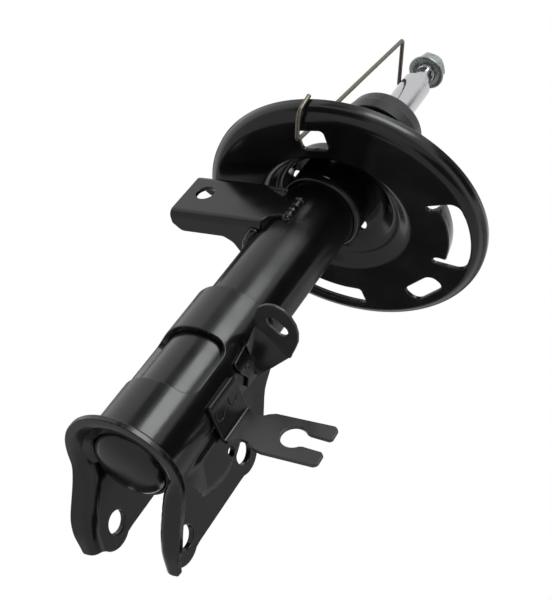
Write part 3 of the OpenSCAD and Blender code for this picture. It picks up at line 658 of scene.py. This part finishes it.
def bracket_half():
    """The right half of the flat sheet's outline, from beside the lower edge's middle up to the top's."""
    tip = ear_u(TIP_Y)
    lower_u = np.linspace(0, tip - 5, 56)[1:]
    lower = columns(lower_u, fold_z(lower_u) - edge_width(lower_u))
    lobe, low_z = ear_u(-LOBE_LOW[0]), LOBE_LOW[1]
    end = rounded([lower[-1], (tip, float(fold_z(tip) - edge_width(tip)), 1.6),
                   (tip + 0.3, low_z - 14.4, 1.2), *arc(lobe, low_z, LOBE_R, -62, -52, 2)[:2]], closed=False)
    low_lobe = arc(lobe, low_z, LOBE_R, -52, 33, 12)
    high_lobe = arc(ear_u(-BOLT_Y), BOLT_HIGH, LOBE_R, -29, 52, 12)
    waist = rounded([low_lobe[-1], (ear_u(-56.0), 6, 14), (ear_u(-56.0), 52, 14), high_lobe[0]],
                    closed=False)
    upper = rounded([high_lobe[-1], (ear_u(-41), 92, 16), (ear_u(-26.5), 102.5, 20),
                     (ear_u(-18.5), 118, 18), (ear_u(-15.5), TOP_Z, 4), (0, TOP_Z)], closed=False)
    return np.concatenate([lower[:-1], end[:-1], low_lobe, waist[1:-1], high_lobe[:-1], upper[:-1]])


def bracket_holes():
    """The front window, the four bolt holes and each ear's small hole."""
    holes = [block(53.8, 45, 9, steps=10) + [0, 68.5]]
    holes += [circle(s * ear_u(-BOLT_Y), z, BOLT_R) for s in (1, -1) for z in (BOLT_LOW, BOLT_HIGH)]
    return holes + [circle(s * ear_u(-SMALL_Y), SMALL_Z, SMALL_R, 28) for s in (1, -1)]


right_half = bracket_half()
sheet("bracket_skin", on_bracket, np.concatenate([right_half, (right_half * [-1, 1])[::-1]]),
      bracket_holes(), grid((-112, -48), (112, 130), 1.8), SHEET, 0.75, 1.6,
      paint_worn, "black_paint", stands_for="knuckle_bracket")


def foot_fillet():
    """The open ring that fills the corner between the tube's foot and the flared sheet."""
    profile = rounded([(23.5, 7.6, 0.3), (23.5, 6.2, 0.4), (24.6, 5.5, 2), (28.9, 3.7), (29.6, 4.6),
                       (27.0, 7.6)], steps=8)
    return [upright(profile, a) for a in np.radians(np.linspace(-6, 186, 97))]


rings("foot_fillet", foot_fillet(), *BLACK, closed=False)


# ---------- spring seat ----------

SEAT_A, SEAT_TILT, SEAT_T = rad(-116), rad(10), 3.0
SEAT_SHIFT, SEAT_Z, CROWN_SHIFT = 17.0, 256.0, 7.0
CROWN_TOP = SEAT_Z - SEAT_SHIFT * math.tan(SEAT_TILT) + 24
DIRECTION = np.array([math.cos(SEAT_A), math.sin(SEAT_A), 0])
CROWN_AT = -CROWN_SHIFT * DIRECTION[:2]
SEAT_FLAT, RIM_BEND, RIM_TOP = 89.43, 7.5, 12.5
SEAT_OUT = SEAT_FLAT + RIM_BEND * rad(90) + RIM_TOP - 9
PAN_STEP, RING_STEP = 3.4, 1.15  # spacing of the pan's points, and of the rings on the bends


def lean(points, share):
    """Points turned by a share of the seat's tilt."""
    angle = -SEAT_TILT * np.asarray(share, float)
    along = points @ DIRECTION
    c, s = np.cos(angle), np.sin(angle)
    z = points[:, 2]
    flat = points * [1, 1, 0] - along[:, None] * DIRECTION
    return flat + (along * c + z * s)[:, None] * DIRECTION + columns(0, 0, -along * s + z * c)


def to_seat(points):
    """Points in the tilted pan's own frame, brought to the strut's."""
    points = np.asarray(points, float)
    return lean(points, np.ones(len(points))) + [*(SEAT_SHIFT * DIRECTION[:2]), SEAT_Z]


# Profile of the stepped crown: radius and height, from the tube's opening outwards
CROWN_BORE, CROWN_RISE, CROWN_RHO = 25.6, 19.2, 58.0
CROWN = rounded([(CROWN_BORE, CROWN_RISE), (35.5, CROWN_RISE, 5), (41.6, 7.4, 3), (45.6, 6.6, 3.5),
                 (52.0, 0.0, 6), (58.5, 0.0)], closed=False, steps=9)
CROWN_T = np.concatenate([[0], np.cumsum(np.linalg.norm(np.diff(CROWN, axis=0), axis=1))])
CROWN_0 = CROWN_RHO - np.interp(CROWN_RHO, CROWN[:, 0], CROWN_T)


def on_seat(xy):
    """The tilted pan with its rim, and inside CROWN_RHO the crown, which levels out as it rises."""
    s = np.hypot(*xy.T)
    turn = np.clip((s - SEAT_FLAT) / RIM_BEND, 0, rad(90))
    r = np.where(s < SEAT_FLAT, s, SEAT_FLAT + RIM_BEND * np.sin(turn))
    z = SEAT_T / 2 + RIM_BEND * (1 - np.cos(turn)) + np.clip(s - SEAT_FLAT - RIM_BEND * rad(90), 0, None)
    local = columns(*(xy.T * r / np.maximum(s, 1e-6)), z)
    pan = to_seat(local)
    q = xy - CROWN_AT
    rho = np.hypot(*q.T)
    t = rho - CROWN_0
    radius, height = np.interp(t, CROWN_T, CROWN[:, 0]), np.interp(t, CROWN_T, CROWN[:, 1])
    level = height / CROWN_RISE
    ring = columns(*(q.T * radius / rho), SEAT_T / 2 - SEAT_T * level)
    out = (1 - level) * (SEAT_SHIFT - CROWN_SHIFT * math.cos(SEAT_TILT))
    foot_z = SEAT_Z - CROWN_SHIFT * math.sin(SEAT_TILT)
    up = (1 - level) * foot_z + level * CROWN_TOP
    crown = lean(ring, 1 - level) + out[:, None] * DIRECTION + columns(0, 0, up)
    return np.where((rho < CROWN_RHO)[:, None], crown, pan)


def seat_points():
    pan = grid((-90, -90), (90, 90), PAN_STEP)
    off_crown = np.hypot(*(pan - CROWN_AT).T) > CROWN_RHO + 2
    out = [pan[off_crown & (np.hypot(*pan.T) < SEAT_FLAT - 2)]]
    for rho in np.arange(CROWN_0 + 1.2, CROWN_RHO + 1, RING_STEP):
        out.append(circle(*CROWN_AT, rho, int(96 + rho)))
    for s in np.arange(SEAT_FLAT - 0.8, SEAT_OUT - 1, RING_STEP):
        out.append(circle(0, 0, s, 300))
    return np.concatenate(out)


def crown_hole(azimuth):
    """A round hole in the crown's flat top, in the seat's flat outline."""
    radius, size = 31.7, 4.0
    out = np.array([math.cos(rad(azimuth)), math.sin(rad(azimuth))])
    flat_radius = CROWN_0 + radius - CROWN_BORE
    at = CROWN_AT + flat_radius * out
    across = np.array([-out[1], out[0]]) * flat_radius / radius
    return np.array([at + out * x + across * y for x, y in circle(0, 0, size, 28)])


def polar_slot(cut):
    """Outline of a slot from its corners as (radius, azimuth, corner radius), with sides along circles.
    A long side's points keep clear of its corners' arcs."""
    corners = []
    for k, (r, a, corner) in enumerate(cut):
        r2, a2, _ = cut[(k + 1) % len(cut)]
        steps = max(1, int(abs(a2 - a) / 3)) if abs(r - r2) < 3 else 1
        free = 2 if steps > 6 else 0
        for i in [0, *range(1 + free, steps - free)]:
            t = i / steps
            rr, aa = r + (r2 - r) * t, rad(a + (a2 - a) * t)
            corners.append((rr * math.cos(aa), rr * math.sin(aa), 0 if i else corner))
    return rounded(corners)


# Two narrow pockets at the long slot's inner side leave the tongue between them
LONG_SLOT = [(66, 168.6, 3), (89, 170.5, 8), (89, 212.5, 8), (66, 216.5, 3), (66.5, 211.6, 3),
             (74.5, 210, 3), (74.5, 173, 3), (66.5, 172.4, 3)]
BACK_SLOT = [(70, -81, 2.5), (84.5, -82.5, 3), (84.5, -34, 6), (70, -34, 6)]
TONGUE = (172.6, 210.4)  # the azimuths of its ends
seat_holes = [circle(*CROWN_AT, CROWN_0 + 0.05, 90), rotated(block(16, 18, 3) + [73.5, 0], 94),
              polar_slot(LONG_SLOT), rotated(block(14, 29, 6) + [77, 0], -120.5), polar_slot(BACK_SLOT)]
seat_holes += [crown_hole(azimuth) for azimuth in (17, 100, 254)]
sheet("seat_skin", on_seat, circle(0, 0, SEAT_OUT, 330), seat_holes, seat_points(), SEAT_T, 0.9, 2.0,
      *BLACK, stands_for="spring_seat")


def tongue():
    """The strip turned up along the long slot's inner edge."""
    rows = []
    for a in np.linspace(*TONGUE, 48):
        top = 3.4 + 8.0 * smooth(172, 176, a) * smooth(211, 206.5, a)
        profile = rounded([(69.5, 0.2, 0.2), (74.4, 0.2, 3.6), (74.4, top, 0.9), (71.6, top, 0.9),
                           (71.6, 2.9, 0.8), (69.5, 2.9, 0.2)])
        rows.append(to_seat(upright(profile, rad(a))))
    return rows


rings("seat_tongue", tongue(), *BLACK, closed=False)


# ---------- welds ----------

def ripples(length, size, pitch, seed, sides=20):
    """Radius of a weld bead along its length: overlapping scales, uneven width and drawn-in ends."""
    rng = np.random.default_rng(seed)
    count = max(8, int(length / pitch * 6))
    s = np.linspace(0, length, count)
    phase = (s / pitch) % 1
    wave = 0.08 * (1 - phase) ** 0.7
    slow = np.interp(s, np.linspace(0, length, 9), rng.normal(0, 0.045, 9))
    ends = np.sqrt(np.clip(np.minimum(s, length - s) / (size * 0.9), 0.02, 1))
    lumps = rng.normal(0, 0.018, (count, sides))
    return s / length, size * ((1 + wave + slow) * ends)[:, None] * (1 + lumps)


def bead(name, path, radius, stands_for=None):
    sweep(name, path, radius, weld_paint, "painted_weld", stands_for=stands_for)


def ring_weld(name, z, radius, start, end, size, seed, stands_for):
    """A bead along a circle round the strut's axis."""
    t, r = ripples(radius * rad(end - start), size, 1.9, seed)
    a = np.radians(start + (end - start) * t)
    bead(name, columns(radius * np.cos(a), radius * np.sin(a), z), r, stands_for)


def ear_weld(name, side, stands_for):
    """The upright bead between the tube and an ear."""
    t, r = ripples(100, 2.8, 2.0, 40 + side)
    bead(name, columns(side * 22.4, -12.6, 12.5 + 101 * t), r, stands_for)


for k, a in enumerate((20, 110, 200, 290)):
    ring_weld(f"seat_weld_{k}", CROWN_TOP + 0.6, TUBE_R + 1.0, a, a + 52, 3.2, 20 + k,
              None if k else "seat_welds")
ear_weld("bracket_weld_right", 1, "bracket_welds")
ear_weld("bracket_weld_left", -1, None)


# ---------- stabilizer link bracket ----------

LINK_A, LINK_Z, LINK_W, LINK_T, LINK_FACE = rad(4.6), 192.5, 43.0, 3.0, 28.55
LINK_BEND, LINK_HOLE_X, LINK_HOLE_R = 3.5, 66.6, 6.5
WEB = LINK_W / 2 - LINK_BEND - LINK_T / 2  # along the sheet from the web's middle: the web's end
FLANGE = WEB + LINK_BEND * rad(90)  # and the flange's beginning


def turn_link(points):
    c, s = math.cos(LINK_A), math.sin(LINK_A)
    return points @ np.array([[c, s, 0], [-s, c, 0], [0, 0, 1]])


def on_link(xs):
    """x runs away from the strut; s runs across the channel, 0 at the web's middle."""
    x, s = xs.T
    side, a = np.sign(s), np.abs(s)
    turn = np.clip((a - WEB) / LINK_BEND, 0, rad(90))
    face = LINK_FACE - LINK_T / 2
    y = face - LINK_BEND * (1 - np.cos(turn)) - np.clip(a - FLANGE, 0, None)
    z = side * (np.minimum(a, WEB) + LINK_BEND * np.sin(turn))
    return turn_link(columns(x, y, LINK_Z + LINK_W / 2 + z))


def flange_s(y):
    """Where a place on a flange lies across the bent sheet."""
    return FLANGE + (LINK_FACE - LINK_T / 2 - LINK_BEND) - y


def link_outline():
    upper = [(82, 19, 2), (76, 13, 5), (43, 13, 6), (36.5, 9, 6), (33, 2, 8), (30, -11.5, 2),
             (21.4, -14.4, 1), (24.4, -7.6), (25.6, 0), (24.3, 8), (20.5, 15.4), (15.6, 20.3),
             (11.5, 22.6, 2)]
    upper = [(x, flange_s(y), *corner) for x, y, *corner in upper]
    web = [(13, FLANGE - 1.6, 1.5), (31, FLANGE - 2.2, 3.5), (24.7, WEB, 2), (4.5, 5.7, 3), (-2, 5.2, 1),
           (-2, -10.5, 1), (3, -10.8, 3), (9, -13.5, 3), (11.5, -19.5, 2)]
    return rounded(upper + web + [(x, -s, *corner) for x, s, *corner in upper[::-1]])


sheet("link_bracket_skin", on_link, link_outline(), [circle(LINK_HOLE_X, 0.06 * LINK_W, LINK_HOLE_R)],
      grid((-4, -62), (84, 62), 1.5), LINK_T, 0.7, 1.3,
      *BLACK, stands_for="stabilizer_link_bracket")


def link_end_weld():
    """The rough bead between the web's end and the tube."""
    t, r = ripples(26, 3.0, 2.6, 66)
    r *= 1 + 0.13 * (np.sin(23 * t + 1) * np.sin(9 * t))[:, None]
    bead("link_weld_end", turn_link(columns(-2.6, 25.6, LINK_Z + 8 + 26 * t)), r)


for k, z in enumerate((LINK_Z - 0.6, LINK_Z + LINK_W + 0.6)):
    ring_weld(f"link_weld_{k}", z, TUBE_R + 1.1, -17.4, 62.6, 3.4, 60 + k,
              None if k else "link_bracket_welds")
link_end_weld()


# ---------- brake hose bracket ----------

HOSE_T, HOSE_BEND, HOSE_SWING = 2.5, 3.0, rad(10)
HOSE_ROOT = (-SLEEVE_R - HOSE_T / 2, -19.0)
HOSE_OUT = HOSE_BEND * (rad(90) - HOSE_SWING)  # along the sheet: the bend's length
HOSE_SLOT_Z, HOSE_SLOT_R = 66.2, 8


def on_hose_pad(uv):
    """u runs from the pad's front edge, below 0, back to the bend and out along the fork; v is the height."""
    u, v = uv.T
    y0 = HOSE_ROOT[1] + HOSE_BEND
    turn = np.clip(u / HOSE_BEND, 0, HOSE_OUT / HOSE_BEND)
    past = np.clip(u - HOSE_OUT, 0, None)
    x = HOSE_ROOT[0] - HOSE_BEND * (1 - np.cos(turn)) - past * np.cos(HOSE_SWING)
    y = y0 - HOSE_BEND * np.sin(turn) - past * np.sin(HOSE_SWING)
    pad_r = SLEEVE_R + HOSE_T / 2 + 0.05
    pad_y = y0 + np.clip(-u, 0, None)
    pad_x = np.where(pad_y > 0, -np.sqrt(np.clip(pad_r ** 2 - pad_y ** 2, 1, None)), -pad_r)
    return columns(np.where(u < 0, pad_x, x), np.where(u < 0, pad_y, y), v)


def hose_outline():
    """The pad, and the fork with its round seat for the hose."""
    start = HOSE_OUT - HOSE_BEND * math.cos(HOSE_SWING)
    low = [(4, 49.4, 1.2), (6.8, 52.2, 2), (10, 53.9, 3), (15, 53.3, 3), (19, 50.3, 4), (25, 48.9, 8),
           (57.8, 50.8, 2.5), (60, 52.8, 2.5), (59.9, 59.9, 1.2), (58, 61.5, 1.2), (46.2, 61.5, 1.5)]
    seat = [(38 + HOSE_SLOT_R * math.cos(a), HOSE_SLOT_Z + HOSE_SLOT_R * math.sin(a))
            for a in np.radians(np.linspace(-42, -318, 26))]
    high = [(46.2, 70.9, 1.5), (58, 70.9, 1.2), (59.7, 72.4, 1.2), (59.6, 80.2, 2.5), (56.9, 81.9, 2.5),
            (20, 79.1, 4), (16, 77.2, 4), (13, 74.8, 4), (7.6, 74.9, 4), (2, 78, 2)]
    fork = [(start + u, v, *corner) for u, v, *corner in low + seat + high]
    return rounded([(-23, 49, 2), (-1, 49, 1)] + fork + [(-1, 78, 1), (-23, 78, 2)])


sheet("hose_bracket_skin", on_hose_pad, hose_outline(), [], grid((-24, 48), (66, 83), 1.3), HOSE_T, 0.55,
      1.1, paint_dull, "black_paint", stands_for="brake_hose_bracket")


def hose_pad_mark(name, z):
    """The raised open ring that a spot weld leaves on the pad."""
    a = np.radians(np.linspace(100, 315, 26))
    path = columns(-SLEEVE_R - HOSE_T - 0.05, -2 + 4.0 * np.cos(a), z + 4.0 * np.sin(a))
    to_end = np.minimum(np.arange(26), 25 - np.arange(26))
    sweep(name, path, 0.62 * np.sqrt(np.clip(to_end / 2.5, 0.05, 1)), *BLACK, sides=12)


hose_pad_mark("hose_pad_mark_55", 55.0)
hose_pad_mark("hose_pad_mark_69", 69.5)


# ---------- sensor wire bracket ----------

TAB_Z, TAB_T, TAB_EDGE, PAD_R = 108.0, 2.0, 0.6, 30.6
SLOT_AT, SLOT_TURN = (-48.9, 20.3), 53
WEB_LONG, WEB_HIGH = 24.0, 18.0
# The web's lower and upper edges in space
WEB_LOW = np.array([(-30.6, -10.5, 97.0), (-30.6, 12.5, 97.0)])
WEB_TOP = np.array([(-50.2, -3.0, TAB_Z + 1.0), (-33.0, 19.2, TAB_Z + 1.0)])


def on_tab(xy):
    return columns(*xy.T, TAB_Z + TAB_T / 2)


def on_web(uv):
    """The slanted web from the pad on the sleeve up to the flat tab."""
    u, v = (uv / [WEB_LONG, WEB_HIGH]).T[:, :, None]
    low, top = (line[0] + (line[1] - line[0]) * u for line in (WEB_LOW, WEB_TOP))
    return low + (top - low) * v


def on_sensor_pad(uv):
    """u runs against Y here, so that the pad's outside is its top face."""
    y, z = -uv[:, 0], uv[:, 1]
    return columns(-np.sqrt(PAD_R ** 2 - y ** 2), y, z)


tab = rounded([(-31.4, 18.2, 1), (-32.8, 20, 1), (-36.5, 29, 3), (-40.5, 34.2, 4), (-46.4, 36.5, 5),
               (-52, 36.4, 5), (-57.6, 33, 5), (-60.6, 28.4, 5), (-62.2, 22, 6), (-61.7, 15.8, 6),
               (-59.5, 9.5, 5), (-55.5, 3.6, 4), (-50.4, -2.8, 1)])
sheet("sensor_tab", on_tab, tab, [rotated(block(15, 8, 3.99, steps=8), SLOT_TURN) + SLOT_AT],
      grid((-64, -5), (-30, 38), 1.5), TAB_T, TAB_EDGE, 1.2,
      paint_dull, "black_paint", stands_for="sensor_wire_bracket")
web = rounded([(0, 0), (WEB_LONG, 0), (WEB_LONG, WEB_HIGH), (0, WEB_HIGH)], 1.2)
sheet("sensor_web", on_web, web, [], grid((0, 0), (WEB_LONG, WEB_HIGH), 2.0), TAB_T, TAB_EDGE, 1.5, *BLACK)
pad = rounded([(-10, 83, 2), (-3, 84, 3), (4, 88.5, 3), (11, 85, 2), (11, 99, 1), (-12, 99, 1)])
sheet("sensor_pad", on_sensor_pad, pad, [], grid((-12, 80), (12, 99), 2.0), TAB_T, TAB_EDGE, 1.3, *BLACK)


def sensor_beads():
    """The rounded bend between web and tab, and the raised ring on the pad."""
    bend = np.linspace([-50.2, -3.1, TAB_Z + 0.7], [-32.6, 19.0, TAB_Z + 0.7], 24)
    sweep("sensor_bend", bend, np.full(24, 1.15), *BLACK, sides=16)
    a = np.radians(np.linspace(0, 340, 26))
    y = 3 + 2.4 * np.cos(a)
    ring = columns(-np.sqrt((PAD_R + 1.05) ** 2 - y ** 2), y, 92 + 2.4 * np.sin(a))
    sweep("sensor_pad_mark", ring, np.full(26, 0.5), *BLACK, sides=12)


sensor_beads()


# ---------- rod, nut and wire ----------

SHOULDER, STUD_TOP, ROD_R, STUD_R = 408.0, 443.0, 11.0, 7.0
NECK_R, THREAD_FOOT = 6.5, SHOULDER + 15.2  # the stud's plain part, and where its thread begins
PISTON_SEAT, FOOT_R = 59.0, 6.0
PITCH, THREAD_DEPTH, KEY_AF, KEY_DEEP = 1.5, 0.88, 6, 8.0
NUT_AF, NUT_HIGH, NUT_BORE, NUT_FLANGE, TEETH = 21, 12.2, 7.05, 13.75, 24


def hexagon(across, sides):
    """Radius of a hexagon at equal steps round it."""
    return across / 2 / np.cos((around(sides) + rad(30)) % rad(60) - rad(30))


def rod_rows(sides=96):
    """Piston stud, rod, shoulder, plain neck, thread, and the hexagon socket in the stud's top."""
    foot = [(4.6, 32.2), (5.0, 32.0), (FOOT_R, 33.0), (FOOT_R, 33.4), (FOOT_R, 58.6), (FOOT_R, PISTON_SEAT),
            (6.2, PISTON_SEAT), (10.6, PISTON_SEAT), (ROD_R, 59.4), (ROD_R, 60.0)]
    rod = [(ROD_R, z) for z in np.linspace(70, 404, 34)]
    shoulder = [(ROD_R, -1.6), (ROD_R, -1.0), (10.8, -0.7), (10.3, -0.15), (10.0, 0), (9.0, 0), (6.8, 0),
                (6.3, 0.2), (6.2, 0.6), (6.2, 1.8), (NECK_R, 1.9), (NECK_R, 8), (NECK_R, 15.2)]
    rows = [round_row(r, z, sides) for r, z in foot + rod + [(r, SHOULDER + z) for r, z in shoulder]]
    turn, z = np.arange(sides) / sides, THREAD_FOOT + 0.3
    while z < STUD_TOP - 0.3:
        phase = ((z - SHOULDER - 1) / PITCH - turn) % 1
        ridge = smooth(0.12, 0.88, 1 - np.abs(2 * phase - 1))
        crest = min(STUD_R, STUD_TOP - z + 5.6, NECK_R + (z - THREAD_FOOT) * 0.8)
        rows.append(round_row(np.minimum(STUD_R - THREAD_DEPTH + 0.85 * ridge, crest), z, sides))
        z += PITCH / 7
    rows += [round_row(r, z, sides) for r, z in [(5.7, STUD_TOP - 0.12), (5.4, STUD_TOP), (3.9, STUD_TOP)]]
    socket = hexagon(KEY_AF, sides)
    rows += [round_row(socket * share, STUD_TOP - depth, sides) for share, depth in [
        (1.04, 0.25), (1.0, 0.6), (1.0, KEY_DEEP - 0.1), (0.98, KEY_DEEP), (0.4, KEY_DEEP)]]
    return rows


rings("rod_skin", rod_rows(), chrome, "chromed_steel", closed=False, body="rod", stands_for="piston_rod")


def nut_rows(sides=144):
    """A flange with a serrated under side, and the hexagon with a rounded top."""
    tooth = 0.15 * ((around(sides) * TEETH / (2 * math.pi)) % 1)
    hexa, top = hexagon(NUT_AF, sides), NUT_HIGH
    neck = 2.0 + (13.5 - hexa) / 3.0 * 2.7
    shoulder = top - 2 + (12.9 - hexa) / 3.0 * 2
    rows = [(NUT_BORE, 1.0), (7.9, 0.3), (8.4, 0.3), (9.0, tooth), (13.0, tooth), (13.45, 0.35),
            (NUT_FLANGE, 0.75), (NUT_FLANGE, 1.5), (13.6, 1.8), (13.3, 2.0), (13.1, 2.15),
            (hexa + 0.25, neck - 0.15), (hexa, neck + 0.25), (hexa, neck + 0.6), (hexa, shoulder - 0.7),
            (hexa, shoulder - 0.25), (hexa - 0.2, shoulder + 0.02), (10.15, top - 0.15), (9.8, top),
            (9.4, top), (8.2, top), (7.9, top - 0.1), (NUT_BORE, top - 0.9)]
    return [round_row(r, SHOULDER + 17 + z, sides) for r, z in rows]


rings("nut_skin", nut_rows(), zinc, "zinc", body="rod", stands_for="top_nut")

WIRE_A, WIRE_OFF = rad(108.5), 12.8  # azimuth and sideways place of the wire's plane
TIP_AT, TIP_R = (0.0, 0.05, 0.25, 0.6), (0.9, 1.2, 1.42, 1.5)  # a wire end's rounding: way and radius


def wire():
    """The wire's middle line and its radius, from beside the rod to the hook in the seat's window."""
    bends = [(-1.5, SHOULDER - 3.5), (36.8, SHOULDER - 1.5, 3), (61.8, SEAT_Z - 19.4, 4),
             (82.6, SEAT_Z - 17.4, 7), (86.1, SEAT_Z - 2)]
    route = divided(rounded(bends, closed=False, steps=12), 4, closed=False)
    first, last = unit(route[1] - route[0]), unit(route[-2] - route[-1])
    line = np.array([route[0] + first * way for way in TIP_AT] + list(route[1:-1])
                    + [route[-1] + last * way for way in TIP_AT[::-1]])
    radius = np.full(len(line), TIP_R[-1])
    radius[:4], radius[-4:] = TIP_R, TIP_R[::-1]
    c, s = math.cos(WIRE_A), math.sin(WIRE_A)
    out, z = line.T
    return columns(out * c + WIRE_OFF * s, out * s - WIRE_OFF * c, z), radius


sweep("wire_skin", *wire(), wire_steel, "bare_wire", body="wire", stands_for="retaining_wire", sides=24)


# ---------- floor, light and camera ----------

MIDDLE = Vector((0, 0, 0.164))
FLOOR_HALF, FLOOR_Z, FLOOR_GREY = 3.0, -0.616, 0.86
AMBIENT = 0.5  # the light of the surroundings on the object
KEY_TINT = (0.965, 1.0, 0.99)


def stage_plane(name, finish, half_x, half_y, z=0.0):
    """A flat piece of the studio."""
    mesh = bpy.data.meshes.new(name)
    corners = [(-half_x, -half_y, z), (half_x, -half_y, z), (half_x, half_y, z), (-half_x, half_y, z)]
    mesh.from_pydata(corners, [], [(0, 1, 2, 3)])
    mesh.materials.append(finish.material)
    plane = bpy.data.objects.new(name, mesh)
    bpy.context.scene.collection.objects.link(plane)
    return plane


def aim(piece, azimuth, elevation, distance):
    """Stands a lamp or a card off in a direction and turns it towards the strut's middle."""
    a, e = rad(azimuth), rad(elevation)
    away = Vector((math.cos(a) * math.cos(e), math.sin(a) * math.cos(e), math.sin(e)))
    piece.location = MIDDLE + away * distance
    piece.rotation_euler = (-away).to_track_quat("-Z", "Y").to_euler()


floor = Finish("floor", (FLOOR_GREY,) * 3, 0.8)
floor.set("Roughness", floor.spread(floor.noise(4, 3), 0.3, 0.7, 0.75, 0.9))
stage_plane("floor", floor, FLOOR_HALF, FLOOR_HALF, FLOOR_Z)


def world():
    """Even studio surroundings, white to the camera and in reflections and dimmer as a light."""
    made = bpy.data.worlds.new("studio")
    made.use_nodes = True
    nodes, links = made.node_tree.nodes, made.node_tree.links
    rays = nodes.new("ShaderNodeLightPath").outputs
    seen = rays["Is Camera Ray"]
    for kind in ("Is Glossy Ray", "Is Transmission Ray"):
        either = nodes.new("ShaderNodeMath")
        either.operation = "MAXIMUM"
        links.new(seen, either.inputs[0])
        links.new(rays[kind], either.inputs[1])
        seen = either.outputs[0]
    level = nodes.new("ShaderNodeMapRange")
    level.inputs["To Min"].default_value = AMBIENT
    level.inputs["To Max"].default_value = 1.0
    links.new(seen, level.inputs["Value"])
    nodes["Background"].inputs["Color"].default_value = (1, 1, 1, 1)
    links.new(level.outputs["Result"], nodes["Background"].inputs["Strength"])
    bpy.context.scene.world = made


world()


def key_light(azimuth, elevation, distance, width, height, radiance):
    data = bpy.data.lights.new("key", "AREA")
    data.shape = "RECTANGLE"
    data.size, data.size_y = width, height
    data.energy = radiance * math.pi * width * height
    data.color = KEY_TINT
    lamp = bpy.data.objects.new("key", data)
    aim(lamp, azimuth, elevation, distance)
    bpy.context.scene.collection.objects.link(lamp)


def flag(name, azimuth, elevation, distance, width, height, grey=0.02):
    """A studio card that darkens reflections; no camera, diffuse or shadow ray meets it."""
    f = Finish(name, (grey,) * 3, 0.9)
    f.set("Roughness", f.spread(f.noise(5, 2), 0.3, 0.7, 0.85, 0.95))
    card = stage_plane(name, f, width / 2, height / 2)
    aim(card, azimuth, elevation, distance)
    card.visible_camera = card.visible_diffuse = card.visible_shadow = False


key_light(124, 24, 1.6, 0.86, 0.74, 5.6)
flag("dark_card", 185, 31, 1.7, 1.30, 1.4)
flag("edge_card", 88, 24, 1.7, 0.58, 0.78, 0.45)
flag("ear_card", 244, 30, 1.5, 1.25, 1.1, 0.65)
flag("left_card", -24, 26, 1.6, 0.95, 0.50, 0.55)
flag("left_dark_card", -24, 43, 1.62, 0.95, 0.45, 0.15)
flag("low_card", -67, -24, 0.61, 0.34, 0.36, 0.06)
flag("rim_card", -165, -37, 0.9, 0.50, 0.60, 0.08)
flag("far_card", -77, 29, 1.5, 0.85, 0.8, 0.35)
flag("front_card", 90, -20, 0.66, 0.60, 0.52, 0.08)

# The camera's place and axes, from the fit to the photograph
CAMERA_AT, CAMERA_LENS = (-0.45481, 0.45196, -0.34919), 78
RIGHT, DOWN = (-0.83503, -0.29387, 0.46515), (-0.07746, -0.77421, -0.62818)
AHEAD = (0.54472, -0.56058, 0.62373)

scene = bpy.context.scene
camera_data = bpy.data.cameras.new("camera")
camera_data.sensor_fit = "VERTICAL"
camera_data.sensor_height = camera_data.sensor_width = 36
camera_data.lens = CAMERA_LENS
camera_data.clip_start, camera_data.clip_end = 0.01, 20
camera = bpy.data.objects.new("camera", camera_data)
rows = [(right, -down, -ahead, at) for right, down, ahead, at in zip(RIGHT, DOWN, AHEAD, CAMERA_AT)]
camera.matrix_world = Matrix((*rows, (0, 0, 0, 1)))
scene.collection.objects.link(camera)
scene.camera = camera
scene.view_settings.view_transform = "Standard"
